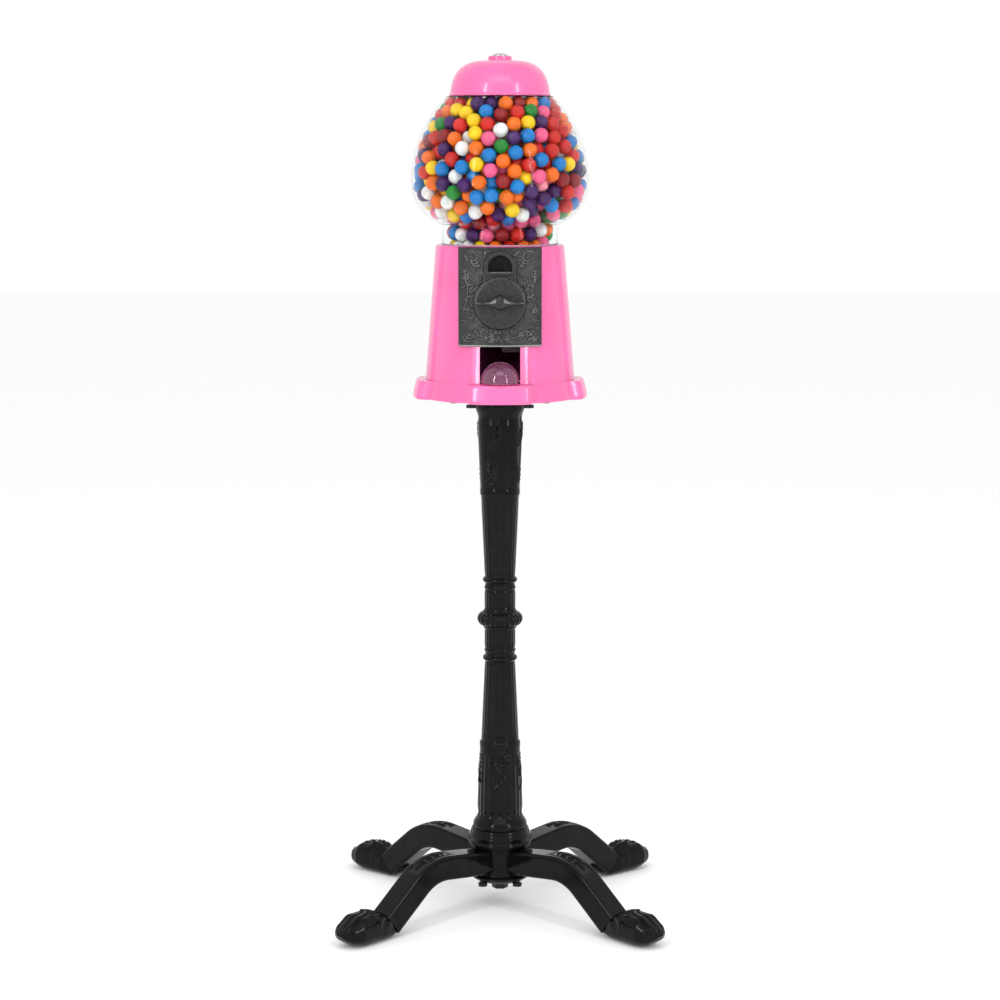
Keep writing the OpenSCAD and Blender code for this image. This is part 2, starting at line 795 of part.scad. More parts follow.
// Drive gear: teeth with straight flanks, thin enough to run with play in the crown
module drive_gear() {
    root_r = gear_r - tooth_down;
    tip_r = gear_r + tooth_up;
    root_half = 1.9;
    pitch_half = 1.25;
    tip_half = 0.55;
    color("#9a8a55") translate([0, -crown_r + gear_t / 2, handle_z]) rotate([90, 0, 0]) difference() {
        union() {
            cylinder(r = root_r, h = gear_t);
            for (i = [0:gear_teeth - 1]) {
                rotate([0, 0, 90 + i * 360 / gear_teeth]) linear_extrude(gear_t)
                    polygon([[root_r - 1, -root_half], [gear_r, -pitch_half], [tip_r, -tip_half],
                        [tip_r, tip_half], [gear_r, pitch_half], [root_r - 1, root_half]]);
            }
        }
        translate([0, 0, -1]) cylinder(r = shaft_r + 0.01, h = gear_t + 2);
    }
}

// ---------- Chute ----------

chute_in = chute_w / 2 + 0.1;
chute_leg_x = 17;
chute_leg_y = -62;
chute_back_y = -8;
chute_side_x = spout_x + spout_r + 3;
chute_front_y = -76;

// Plan of the chute's inside, grown outwards by t
function chute_plan(t) = [[-chute_in - t, chute_front_y], [chute_in + t, chute_front_y],
    [chute_in + t, -50 - t * 0.3], [chute_side_x + t, -36 - t * 0.6], [chute_side_x + t, chute_back_y],
    [2, chute_back_y], [-chute_in - t, -40]];

module ball_chute() {
    z0 = sill_z - chute_floor_t;
    wall_r = body_wall + seat_gap;
    color("#8d2f62") {
        difference() {
            intersection() {
                translate([0, 0, z0]) linear_extrude(chute_top_z - z0) polygon(chute_plan(chute_wall));
                revolve([[0, z0], [cone_r(z0) - wall_r, z0], [cone_r(chute_top_z) - wall_r, chute_top_z],
                    [0, chute_top_z]]);
            }
            // the way of the ball: a flat pan, then a slope up to the spout
            difference() {
                translate([0, -1, sill_z]) linear_extrude(chute_top_z - sill_z - chute_wall)
                    polygon(chute_plan(0));
                slope_block(pan_back_y, sill_z);
            }
            box(-chute_in, chute_in, -big, -60, sill_z, chute_top_z - chute_wall);
            rod_z(spout_r + spout_wall + 0.5, spout_x, spout_y, chute_top_z - 5, chute_top_z + 1);
            slope_block(pan_back_y + 2, z0 - 0.5);
        }
        for (x = [-1, 1]) {
            difference() {
                rod_z(4, x * chute_leg_x, chute_leg_y, base_z + bottom_t, z0 + eps);
                rod_z(1.5, x * chute_leg_x, chute_leg_y, base_z, z0 - 2);
            }
        }
    }
}

// All that lies below the chute's slope, which starts at y, z
module slope_block(y, z) {
    translate([-big / 2, y, z]) rotate([chute_slope, 0, 0]) translate([0, 0, -big]) cube([big, big, big]);
}

module chute_screws() {
    head_t = 1.8;
    color(steel) for (x = [-1, 1]) {
        rod_z(3, x * chute_leg_x, chute_leg_y, base_z - head_t, base_z);
        rod_z(1.5 - fit_gap, x * chute_leg_x, chute_leg_y, base_z - eps, base_z + bottom_t + 10);
    }
}

door_pin_x = chute_w / 2 + 3.5;
door_ear_x = chute_w / 2 - 0.8;

// Quarter of a clear sphere that turns on two pins at its ends
module chute_door() {
    lip = door_boss_r - 0.1;
    boss_t = 2;
    hollow_r = door_r - door_wall;
    // A chute narrower than the dome cuts its sides flat, and the hollow leaves a wall there
    hollow_half = door_ear_x - door_wall;
    color(clear) translate([0, door_y, door_z]) difference() {
        union() {
            intersection() {
                difference() {
                    sphere(r = door_r);
                    intersection() {
                        sphere(r = hollow_r);
                        box(-hollow_half, hollow_half, -big, big, -big, big);
                    }
                }
                box(-door_ear_x, door_ear_x, -big, 0, -lip, big);
            }
            for (x = [-1, 1]) {
                rod_x(door_boss_r, 0, 0, x * (door_ear_x - boss_t / 2) - boss_t / 2,
                    x * (door_ear_x - boss_t / 2) + boss_t / 2);
            }
        }
        rod_x(door_pin_r + run_gap, 0, 0, -big, big);
    }
}

module door_pins() {
    color(steel) {
        rod_x(door_pin_r, door_y, door_z, -door_pin_x + 0.1, -door_ear_x + 2.2);
        rod_x(door_pin_r, door_y, door_z, door_ear_x - 2.2, door_pin_x - 0.1);
    }
}

// ---------- Stand ----------

saddle_screw_r = 3;
saddle_screw_at = 44;
saddle_nut_h = 5;

module saddle() {
    color(black) difference() {
        union() {
            rod_z(saddle_r, 0, 0, column_top_z, base_z);
            rod_z(saddle_boss_r, 0, 0, column_top_z - saddle_boss_h, column_top_z + eps);
        }
        rod_z(stand_rod_r + fit_gap, 0, 0, column_top_z - saddle_boss_h - 1, base_z - 2);
        for (a = corners) {
            rod_at(saddle_screw_r + 0.2, saddle_screw_at, a, column_top_z - 1, base_z + 1);
        }
        // room for the heads of the machine's own screws
        for (x = [-1, 1]) {
            rod_z(4, x * chute_leg_x, chute_leg_y, column_top_z - 1, base_z + 1);
        }
    }
}

module saddle_screws() {
    head_t = 3;
    color(steel) for (a = corners) {
        screw_up(saddle_screw_r - fit_gap, 5.5, head_t, saddle_screw_at, a, column_top_z - head_t,
            base_z + bottom_t + saddle_nut_h + 1);
    }
}

module saddle_nuts() {
    color(steel) for (a = corners) {
        hex_nut(5.5, saddle_screw_r, saddle_screw_at * cos(a), saddle_screw_at * sin(a),
            base_z + bottom_t, base_z + bottom_t + saddle_nut_h);
    }
}

module bead(r, z, t) {
    rotate_extrude() translate([r, z]) circle(r = t);
}

// Column casting as a list of [radius, height] from its ring end, height growing outwards
function column_side(len, band_in, band_out, flare) =
    [[column_neck_r, 0], [column_neck_r, 46], [column_step_r, 126], [column_step_r, 128],
        [band_in, 131], [band_in + (band_out - band_in) * 0.9, len - 30], [band_out, len - 22],
        [band_out - 1, len - 17], [flare, len - 7], [flare, len]];

module column_casting(len, band_in, band_out, flare, end_r, end_h) {
    bore_r = column_neck_r - column_wall;
    difference() {
        union() {
            revolve(concat([[0, 0]], column_side(len, band_in, band_out, flare), [[0, len]]));
            bead(column_neck_r - 0.6, 34.5, 2.6);
            bead(column_neck_r - 0.7, 26, 1.4);
            // spigot into the thick ring
            rod_z(column_neck_r - 3, 0, 0, -spigot_h, 1);
        }
        rod_z(stand_rod_r + rod_gap, 0, 0, -spigot_h - 1, len + 1);
        rod_z(bore_r, 0, 0, 8, len - 30);
        rod_z(end_r, 0, 0, len - end_h, len + 1);
    }
}

module upper_column() {
    len = column_top_z - ring_top_z;
    color(black) translate([0, 0, ring_top_z])
        column_casting(len, 21.6, upper_band_r, upper_band_r + 2.6, saddle_boss_r + 0.2,
            saddle_boss_h + 1);
}

module lower_column() {
    len = ring_bottom_z - hub_top_z;
    color(black) translate([0, 0, ring_bottom_z]) mirror([0, 0, 1])
        column_casting(len, 22.5, lower_band_r, 30, hub_spigot_r + 0.1, spigot_h + 0.2);
}

module column_ring() {
    flat = 1.5;
    half = ring_h / 2;
    color(black) difference() {
        revolve(concat([[0, ring_bottom_z], [column_neck_r + flat, ring_bottom_z]],
            arc(ring_r - half * 0.9, ring_z, half * 0.9, -90, 90, 12),
            [[column_neck_r + flat, ring_top_z], [0, ring_top_z]]));
        rod_z(stand_rod_r + rod_gap, 0, 0, 0, big * 2);
        rod_z(column_neck_r - 3 + 0.1, 0, 0, ring_bottom_z - 1, ring_bottom_z + spigot_h + 0.2);
        rod_z(column_neck_r - 3 + 0.1, 0, 0, ring_top_z - spigot_h - 0.2, ring_top_z + 1);
    }
}

stand_nut_h = 8;
stand_washer_t = 2;

module stand_rod() {
    color(steel) rod_z(stand_rod_r, 0, 0, hub_z - stand_washer_t - stand_nut_h - 2, base_z - 3);
}

module stand_washer() {
    color(steel) tube(11, stand_rod_r + 0.2, hub_z - stand_washer_t, hub_z);
}

module stand_nut() {
    color(steel) hex_nut(9, stand_rod_r + fit_gap, 0, 0, hub_z - stand_washer_t - stand_nut_h,
        hub_z - stand_washer_t);
}

hub_spigot_r = 20;

module hub() {
    rim = 3.5;
    color(black) difference() {
        union() {
            rod_z(hub_disc_r, 0, 0, hub_z, hub_z + disc_h);
            rod_z(drum_r, 0, 0, hub_z, hub_top_z);
            // stack of rings under the column
            revolve(concat([[0, hub_ring_z], [hub_r - rim, hub_ring_z]],
                arc(hub_r - rim, hub_ring_z + rim, rim, -90, 90, 8),
                arc(hub_r - rim - 1, hub_ring_z + 3 * rim, rim, -90, 90, 8),
                [[hub_r - rim - 3, hub_top_z], [0, hub_top_z]]));
            rod_z(hub_spigot_r, 0, 0, hub_top_z - 1, hub_top_z + spigot_h);
        }
        rod_z(stand_rod_r + rod_gap, 0, 0, hub_z - 1, hub_top_z + spigot_h + 1);
        for (a = corners) {
            rod_at(leg_screw_r + 0.2, leg_screw_at, a, hub_z - 1, hub_z + disc_h + 0.1);
        }
    }
}

// ---------- Legs ----------

// Section of a leg: chamfered at the top, x across, y up
module leg_section() {
    c = leg_chamfer;
    w = leg_w / 2;
    t = leg_t / 2;
    u = 2.5;
    polygon([[-w, -t + u], [-w + u, -t], [w - u, -t], [w, -t + u], [w, t - c], [w - c, t], [-w + c, t],
        [-w, t - c]]);
}

leg_lift = atan(knee_rise / (knee_r - drum_r));
leg_start_r = drum_r + seat_gap;
knee_z = leg_z + knee_rise;
// centre of the knee's bend, below the leg's middle line
bend_x = knee_r + bend_r * sin(leg_lift);
bend_z = knee_z - bend_r * cos(leg_lift);
shin_x = bend_x + bend_r * sin(leg_fall);
shin_z = bend_z + bend_r * cos(leg_fall);
shin_l = (shin_z - leg_t * 0.55) / sin(leg_fall);

// The thigh is a hair thinner than the knee it runs into
thigh_share = 0.995;

// One leg along +X
module leg_shape() {
    thigh_l = (knee_r - leg_start_r) / cos(leg_lift);
    difference() {
        union() {
            intersection() {
                translate([knee_r, 0, knee_z]) rotate([0, -leg_lift, 0]) rotate([90, 0, -90])
                    translate([0, 0, -joint_lap]) linear_extrude(thigh_l + 12) scale(thigh_share)
                        leg_section();
                union() {
                    box(leg_start_r, big, -big, big, hub_z + disc_h, hub_ring_z);
                    box(hub_r + 0.6, big, -big, big, hub_z + disc_h, big);
                }
            }
            translate([bend_x, 0, bend_z]) rotate([90, 0, 0]) rotate([0, 0, 90 - leg_fall])
                rotate_extrude(angle = leg_fall + leg_lift) translate([bend_r, 0]) rotate([0, 0, -90])
                    leg_section();
            translate([shin_x, 0, shin_z]) rotate([0, leg_fall, 0]) rotate([90, 0, 90])
                translate([0, 0, -joint_lap]) linear_extrude(shin_l) leg_section();
            foot();
        }
        rod_z(leg_screw_r, leg_screw_at, 0, 0, leg_z + 6);
        translate([0, 0, -big / 2]) cube([big * 2, big, big], center = true);
    }
}

// Foot: its side view crossed with its plan
module foot() {
    heel = foot_reach - 90;
    tip = foot_reach;
    intersection() {
        translate([0, foot_w, 0]) rotate([90, 0, 0]) linear_extrude(foot_w * 2)
            polygon(concat([[heel, 2], [heel + 5, 0], [tip - 22, 0], [tip - 8, 5]],
                arc(tip - 8, 14, 8, -50, 35, 6), [[tip - 22, foot_h - 3], [tip - 34, foot_h],
                    [tip - 46, foot_h - 3], [tip - 60, foot_h - 10], [heel + 2, foot_h - 14]]));
        linear_extrude(big) polygon(concat([[heel, -foot_w * 0.3], [tip - 50, -foot_w * 0.42]],
            arc(tip - foot_w * 0.5, 0, foot_w * 0.5, -80, 80, 16),
            [[tip - 50, foot_w * 0.42], [heel, foot_w * 0.3]]));
    }
}

module leg(angle) {
    color(black) rotate([0, 0, angle]) leg_shape();
}

module leg_front_left() {
    leg(225);
}

module leg_front_right() {
    leg(315);
}

module leg_back_left() {
    leg(135);
}

module leg_back_right() {
    leg(45);
}

module leg_screws() {
    head_t = 3.5;
    color(steel) for (a = corners) {
        screw_up(leg_screw_r - fit_gap, 5, head_t, leg_screw_at, a, hub_z - head_t, leg_z + 4);
    }
}

// ---------- Nodes ----------

lid();
lid_nut();
globe();
globe_gasket();
gumballs();
center_rod();
rod_nut();
body();
bottom_plate();
bottom_screws();
hopper();
gumball_wheel();
drop_cover();
cover_screw();
coin_plate();
plate_screws();
mech_frame();
mech_screws();
handle();
shaft();
coin_wheel();
ratchet_wheel();
pawl();
pawl_pin();
pawl_spring();
drive_gear();
ball_chute();
chute_screws();
chute_door();
door_pins();
saddle();
saddle_screws();
saddle_nuts();
upper_column();
column_ring();
lower_column();
stand_rod();
stand_nut();
stand_washer();
hub();
leg_front_left();
leg_front_right();
leg_back_left();
leg_back_right();
leg_screws();
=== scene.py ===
import json
import math
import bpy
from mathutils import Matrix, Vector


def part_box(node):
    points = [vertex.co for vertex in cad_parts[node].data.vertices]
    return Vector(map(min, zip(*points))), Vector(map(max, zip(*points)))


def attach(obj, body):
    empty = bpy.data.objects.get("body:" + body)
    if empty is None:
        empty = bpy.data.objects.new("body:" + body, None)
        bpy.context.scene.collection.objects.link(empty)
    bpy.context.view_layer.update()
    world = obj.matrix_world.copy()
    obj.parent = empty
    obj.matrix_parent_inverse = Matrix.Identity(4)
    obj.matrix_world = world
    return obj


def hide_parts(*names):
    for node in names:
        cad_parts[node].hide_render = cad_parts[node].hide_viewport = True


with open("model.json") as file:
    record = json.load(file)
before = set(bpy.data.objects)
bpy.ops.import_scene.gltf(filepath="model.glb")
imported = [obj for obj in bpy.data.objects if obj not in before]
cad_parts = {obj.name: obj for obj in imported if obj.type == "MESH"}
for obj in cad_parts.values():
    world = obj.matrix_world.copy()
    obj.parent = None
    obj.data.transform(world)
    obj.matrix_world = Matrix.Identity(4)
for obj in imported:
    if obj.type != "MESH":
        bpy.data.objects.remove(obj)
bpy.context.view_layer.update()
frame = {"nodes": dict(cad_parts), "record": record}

from types import SimpleNamespace

import bmesh
import bpy
import numpy as np
from mathutils import Matrix, Vector

bl_info = {
    "name": "Gumball Machine",
    "version": (1, 0, 0),
    "blender": (4, 5, 0),
    "location": "View3D > Sidebar > Gumball Machine",
    "description": "Builds a gumball machine with a glass globe on a cast stand",
    "category": "Object",
}

# Lengths in this file are in millimetres until a mesh is finished, when it is scaled to metres.
MM = 0.001


def box_mm(node):
    """Lowest and highest corner of a CAD node, in millimetres."""
    low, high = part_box(node)
    return [c / MM for c in low], [c / MM for c in high]


# ---------- Settings ----------


def length(name, default, text):
    """A length property given in millimetres."""
    return bpy.props.FloatProperty(name=name, description=text, default=default, min=0.0)


def colour(name, default, text):
    """A colour property."""
    return bpy.props.FloatVectorProperty(
        name=name, description=text, default=default, size=3, min=0.0, max=1.0, subtype="COLOR"
    )


class HeadSettings(bpy.types.PropertyGroup):
    """Sizes of the lid, globe, gumballs, body and coin plate, in millimetres."""

    lid_radius: length("Lid radius", 54.6, "Radius of the lid's rim")
    lid_skirt: length("Lid skirt radius", 53.6, "Radius of the lid's dome at its foot")
    lid_height: length("Lid height", 38.0, "Height of the lid's dome")
    lid_wall: length("Lid wall", 2.0, "Thickness of the lid")
    boss_radius: length("Lid boss radius", 12.6, "Radius of the flat boss on the lid")
    globe_radius: length("Globe radius", 96.0, "Largest radius of the globe")
    globe_low_radius: length("Globe underside radius", 48.0, "Radius of the round underside of the globe")
    globe_up_radius: length("Globe side radius", 127.0, "Radius of the arc of the globe's upper side")
    globe_low_height: length("Globe low height", 66.0, "Height from the glass's foot to its widest place")
    globe_up_height: length("Globe up height", 91.0, "Height from the widest place to the shoulder")
    collar_radius: length("Collar radius", 62.5, "Radius of the glass collar under the globe")
    neck_radius: length("Neck radius", 50.0, "Radius of the glass neck inside the lid")
    pane: length("Glass wall", 1.6, "Thickness of the wall that the glass is blown to")
    ball: length("Gumball diameter", 16.1, "Diameter of a gumball")
    body_top: length("Body top radius", 67.0, "Radius of the body at its top edge")
    body_bottom: length("Body bottom radius", 78.5, "Radius of the body where it meets the flange")
    flange: length("Flange radius", 85.0, "Radius of the foot flange between its lobes")
    lobe: length("Lobe radius", 95.0, "Radius of the four lobes of the flange")
    lobe_width: length("Lobe width", 64.0, "Width of the four lobes")
    pilaster: length("Pilaster width", 62.0, "Width of the side and back pilasters")
    pilaster_proud: length("Pilaster height", 2.5, "How far the pilasters stand proud of the cone")
    plate_radius: length("Plate radius", 81.5, "Radius of the coin plate's curved front")
    disc_radius: length("Disc radius", 27.0, "Radius of the round disc behind the handle")
    window_radius: length("Window radius", 12.4, "Radius of the coin window's arch")
    seed: bpy.props.IntProperty(name="Seed", description="Arrangement of the gumballs", default=7, min=0)


class StandSettings(bpy.types.PropertyGroup):
    """Sizes of the column, hub and legs, in millimetres."""

    neck: length("Column neck radius", 17.0, "Radius of the columns next to the thick ring")
    step: length("Column step radius", 20.7, "Radius of the columns below their step")
    upper_band: length("Upper band radius", 24.6, "Radius of the upper column's band at its top")
    lower_band: length("Lower band radius", 25.1, "Radius of the lower column's band at its bottom")
    ring: length("Ring radius", 25.0, "Radius of the thick ring")
    hub: length("Hub radius", 36.0, "Radius of the hub's rings")
    drum: length("Drum radius", 19.5, "Radius of the drum between the legs")
    disc: length("Hub disc radius", 33.0, "Radius of the disc under the legs")
    flutes: bpy.props.IntProperty(name="Flutes", description="Number of flutes", default=24, min=4, max=48)
    flute_depth: length("Flute depth", 0.8, "Depth of the flutes")
    leg_width: length("Leg width", 28.0, "Width of a leg")
    leg_depth: length("Leg depth", 27.0, "Thickness of a leg")
    foot_reach: length("Foot reach", 240.0, "Distance from the axis to the tip of a foot")
    foot_width: length("Foot width", 38.0, "Width of a foot")
    foot_height: length("Foot height", 34.0, "Height of a foot")


class ColourSettings(bpy.types.PropertyGroup):
    """Colours of the finishes."""

    pink: colour("Pink enamel", (0.71, 0.118, 0.325), "Enamel of the body and lid")
    black: colour("Black enamel", (0.0035, 0.0035, 0.0042), "Enamel of the stand")
    pewter: colour("Pewter", (0.040, 0.042, 0.040), "Antiqued metal of the coin plate")
    # Bright pewter of rubbed high places, also used for the painted highlights on the bezel's edge and the
    # handle
    worn_and_highlight: colour("Worn pewter", (0.30, 0.31, 0.29), "Rubbed high places of the coin plate")
    steel: colour("Zinc", (0.60, 0.61, 0.62), "Zinc plated steel")
    nickel: colour("Nickel", (0.55, 0.53, 0.54), "Satin nickel of the cap nut")
    # Painted shade: dark colour for the wheels and fasteners that sit in shade inside and under the machine
    oiled: colour("Oiled steel", (0.018, 0.018, 0.020), "Dark oiled steel of hidden fasteners and wheels")
    brass: colour("Brass", (0.60, 0.45, 0.20), "Plain brass of the small wheels")
    maroon: colour("Maroon plastic", (0.055, 0.006, 0.028), "Moulded plastic of the ball chute")
    cream: colour("White plastic", (0.72, 0.73, 0.74), "Moulded plastic of the hopper")
    gasket: colour("Gasket", (0.50, 0.55, 0.60), "Soft gasket under the glass")
    backdrop: colour("Backdrop", (0.97, 0.97, 0.97), "Floor and backdrop")


BALL_COLOURS = {
    "yellow": ((0.93, 0.60, 0.004), 0.15),
    "orange": ((0.86, 0.15, 0.004), 0.14),
    "red": ((0.60, 0.012, 0.006), 0.15),
    "dark_red": ((0.27, 0.004, 0.006), 0.06),
    "blue": ((0.003, 0.19, 0.56), 0.14),
    "white": ((0.84, 0.84, 0.82), 0.10),
    "pink": ((0.85, 0.11, 0.26), 0.11),
    "pale_pink": ((0.88, 0.27, 0.33), 0.05),
    "green": ((0.006, 0.23, 0.02), 0.08),
    "purple": ((0.045, 0.003, 0.095), 0.08),
}


# ---------- Materials ----------


class Finish:
    """A material with short ways to add its node patterns."""

    def __init__(self, name):
        self.material = bpy.data.materials.new(name)
        self.material.use_nodes = True
        self.nodes = self.material.node_tree.nodes
        self.links = self.material.node_tree.links
        self.shader = self.nodes["Principled BSDF"]
        self.place = self.nodes.new("ShaderNodeTexCoord").outputs["Object"]

    def set(self, **values):
        """Constants of the shader, with underscores for the spaces of their names."""
        for key, value in values.items():
            socket = self.shader.inputs[key.replace("_", " ")]
            if socket.type == "RGBA":
                value = (*value, 1.0)
            socket.default_value = value

    def noise(self, size_mm, detail=2.0, roughness=0.5, stretch=(1, 1, 1)):
        """Noise with features of about that size."""
        mapping = self.nodes.new("ShaderNodeMapping")
        mapping.inputs["Scale"].default_value = stretch
        self.links.new(self.place, mapping.inputs["Vector"])
        node = self.nodes.new("ShaderNodeTexNoise")
        node.inputs["Scale"].default_value = 1 / (size_mm * MM)
        node.inputs["Detail"].default_value = detail
        node.inputs["Roughness"].default_value = roughness
        self.links.new(mapping.outputs["Vector"], node.inputs["Vector"])
        return node.outputs["Fac"]

    def cells(self, size_mm):
        """Random cells of about that size."""
        node = self.nodes.new("ShaderNodeTexVoronoi")
        node.inputs["Scale"].default_value = 1 / (size_mm * MM)
        self.links.new(self.place, node.inputs["Vector"])
        return node.outputs["Distance"]

    def attribute(self, name):
        """A value stored on the mesh's points."""
        node = self.nodes.new("ShaderNodeAttribute")
        node.attribute_name = name
        return node.outputs["Fac"]

    def between(self, factor, low, high, start=0.35, end=0.65):
        """A value that goes from low to high as the factor goes from start to end."""
        node = self.nodes.new("ShaderNodeMapRange")
        node.inputs["From Min"].default_value = start
        node.inputs["From Max"].default_value = end
        node.inputs["To Min"].default_value = low
        node.inputs["To Max"].default_value = high
        self.links.new(factor, node.inputs["Value"])
        return node.outputs["Result"]

    def blend(self, factor, first, second):
        """A colour mixed from two colours."""
        node = self.nodes.new("ShaderNodeMix")
        node.data_type = "RGBA"
        self.links.new(factor, node.inputs[0])
        for socket, value in ((node.inputs[6], first), (node.inputs[7], second)):
            if isinstance(value, bpy.types.NodeSocket):
                self.links.new(value, socket)
            else:
                socket.default_value = (*value, 1.0)
        return node.outputs[2]

    def link(self, socket_name, value):
        """Feeds a value into an input of the shader."""
        self.links.new(value, self.shader.inputs[socket_name])

    def bump(self, *layers):
        """Bumps one after another, each a pair of height and depth in millimetres."""
        normal = None
        for height, depth_mm in layers:
            node = self.nodes.new("ShaderNodeBump")
            node.inputs["Strength"].default_value = 1.0
            node.inputs["Distance"].default_value = depth_mm * MM
            self.links.new(height, node.inputs["Height"])
            if normal is not None:
                self.links.new(normal, node.inputs["Normal"])
            normal = node.outputs["Normal"]
        self.link("Normal", normal)
        if "Coat Normal" in self.shader.inputs:
            self.link("Coat Normal", normal)


def tint(colour_value, share):
    """A colour made lighter or darker by a share."""
    return tuple(min(1.0, c * share) for c in colour_value)


def pink_enamel(colours):
    """Thick glossy enamel over a die casting: soft waves, orange peel and paler rubbed places."""
    f = Finish("pink_enamel")
    f.set(Coat_Weight=0.45, Coat_Roughness=0.06, Specular_IOR_Level=0.35)
    clouds = f.between(f.noise(38, 2), 0.0, 1.0)
    f.link("Base Color", f.blend(clouds, tint(colours.pink, 0.95), tint(colours.pink, 1.05)))
    f.link("Roughness", f.between(f.noise(9, 4), 0.24, 0.34))
    f.bump((f.noise(30, 1), 0.04), (f.noise(2.6, 2), 0.010))
    return f.material


def black_enamel(colours):
    """Gloss black enamel over a sand casting."""
    f = Finish("black_enamel")
    f.set(Specular_IOR_Level=0.11)
    dust = f.between(f.noise(14, 5, 0.6), 0.0, 1.0, 0.45, 0.75)
    f.link("Base Color", f.blend(dust, colours.black, tint(colours.black, 1.9)))
    f.link("Roughness", f.between(f.noise(6, 4), 0.07, 0.16))
    f.bump((f.noise(9, 2), 0.12), (f.noise(1.3, 3), 0.014))
    return f.material


def pewter(colours):
    """Antiqued metal: dark in its ground, rubbed bright where the relief is high, and with painted highlights
    from the same attribute on the upper edges of the bezel and the handle.
    """
    f = Finish("antiqued_pewter")
    f.set(Metallic=0.85, Specular_IOR_Level=0.5)
    mottle = f.between(f.noise(3.5, 5, 0.65), 0.0, 1.0)
    ground = f.blend(mottle, tint(colours.pewter, 0.72), tint(colours.pewter, 1.25))
    # Rubbed places and painted highlights both come from the mesh attribute and turn the ground into bright
    # pewter
    wear_and_highlight = f.between(f.attribute("wear_and_highlight"), 0.0, 1.0, 0.15, 1.0)
    f.link("Base Color", f.blend(wear_and_highlight, ground, colours.worn_and_highlight))
    f.link("Roughness", f.between(f.noise(1.8, 4), 0.34, 0.52))
    f.bump((f.cells(1.5), 0.10), (f.noise(0.7, 3), 0.04))
    return f.material


def zinc(colours):
    """Zinc plating with a faint spangle and fine brushing."""
    f = Finish("zinc_plate")
    f.set(Metallic=1.0)
    spangle = f.between(f.cells(4), 0.0, 1.0, 0.1, 0.7)
    f.link("Base Color", f.blend(spangle, tint(colours.steel, 0.85), tint(colours.steel, 1.1)))
    f.link("Roughness", f.between(f.noise(2, 4), 0.26, 0.44))
    f.bump((f.noise(0.6, 2, stretch=(1, 1, 12)), 0.008))
    return f.material


def oiled_steel(colours):
    """Dark steel with a few rubbed places, put as painted shade on parts that sit in shade inside and under
    the machine.
    """
    f = Finish("oiled_steel")
    f.set(Metallic=0.6, Specular_IOR_Level=0.3)
    rubbed = f.between(f.noise(4, 5), 0.0, 1.0, 0.5, 0.8)
    f.link("Base Color", f.blend(rubbed, colours.oiled, tint(colours.oiled, 2.5)))
    f.link("Roughness", f.between(f.noise(1.6, 3), 0.3, 0.5))
    f.bump((f.noise(0.8, 2), 0.02))
    return f.material


def nickel(colours):
    """Satin nickel with a few handling marks."""
    f = Finish("satin_nickel")
    f.set(Metallic=0.9)
    marks = f.between(f.noise(2.2, 5), 0.0, 1.0, 0.4, 0.7)
    f.link("Base Color", f.blend(marks, tint(colours.nickel, 0.9), tint(colours.nickel, 1.1)))
    f.link("Roughness", f.between(f.noise(1.2, 3), 0.28, 0.42))
    f.bump((f.noise(0.5, 2), 0.01))
    return f.material


def brass(colours):
    """Plain brass, dull in its low places."""
    f = Finish("plain_brass")
    f.set(Metallic=1.0)
    dull = f.between(f.noise(5, 4), 0.0, 1.0)
    f.link("Base Color", f.blend(dull, tint(colours.brass, 0.7), tint(colours.brass, 1.1)))
    f.link("Roughness", f.between(f.noise(1.5, 3), 0.3, 0.5))
    f.bump((f.noise(0.9, 2), 0.015))
    return f.material


def moulded(name, base, gloss, **more):
    """Moulded plastic with a fine texture and flow marks."""
    f = Finish(name)
    f.set(Specular_IOR_Level=0.5, **more)
    flow = f.between(f.noise(22, 3, stretch=(1, 1, 0.3)), 0.0, 1.0)
    f.link("Base Color", f.blend(flow, tint(base, 0.9), tint(base, 1.08)))
    f.link("Roughness", f.between(f.noise(3, 4), gloss, gloss + 0.14))
    f.bump((f.noise(0.8, 2), 0.02))
    return f.material


def clear_glass():
    """Blown glass with slow waves and faint smears."""
    f = Finish("clear_glass")
    f.set(Base_Color=(0.965, 0.98, 0.985), Transmission_Weight=1.0, IOR=1.13)
    f.link("Roughness", f.between(f.noise(30, 4), 0.0, 0.01, 0.55, 0.8))
    f.bump((f.noise(45, 1), 0.03))
    return f.material


def clear_plastic():
    """Clear moulded plastic, given a pink base colour as painted light: the pink of the body behind it."""
    f = Finish("clear_plastic")
    f.set(Base_Color=(0.85, 0.33, 0.58), Transmission_Weight=0.9, IOR=1.46)
    f.link("Roughness", f.between(f.noise(6, 3), 0.03, 0.09))
    f.bump((f.noise(9, 2), 0.03))
    return f.material


def sugar_shell(name, base):
    """Polished sugar shell with mottled colour and small pits."""
    f = Finish("shell_" + name)
    f.set(
        Coat_Weight=0.15, Coat_Roughness=0.05, Subsurface_Weight=0.05, Subsurface_Scale=0.002,
        Specular_IOR_Level=0.25,
    )
    mottle = f.between(f.noise(5, 3), 0.0, 1.0)
    f.link("Base Color", f.blend(mottle, tint(base, 0.86), tint(base, 1.1)))
    f.link("Roughness", f.between(f.noise(2.5, 3), 0.14, 0.26))
    f.bump((f.noise(3, 2), 0.05), (f.noise(0.8, 1), 0.012))
    return f.material


def pale_floor(colours):
    """Plain pale backdrop with a faint paper grain."""
    f = Finish("pale_backdrop")
    f.set(Specular_IOR_Level=0.1)
    grain = f.between(f.noise(60, 3), 0.0, 1.0)
    f.link("Base Color", f.blend(grain, tint(colours.backdrop, 0.995), colours.backdrop))
    f.link("Roughness", f.between(f.noise(3, 2), 0.85, 0.95))
    f.bump((f.noise(1.5, 2), 0.01))
    return f.material


FINISHES = {}

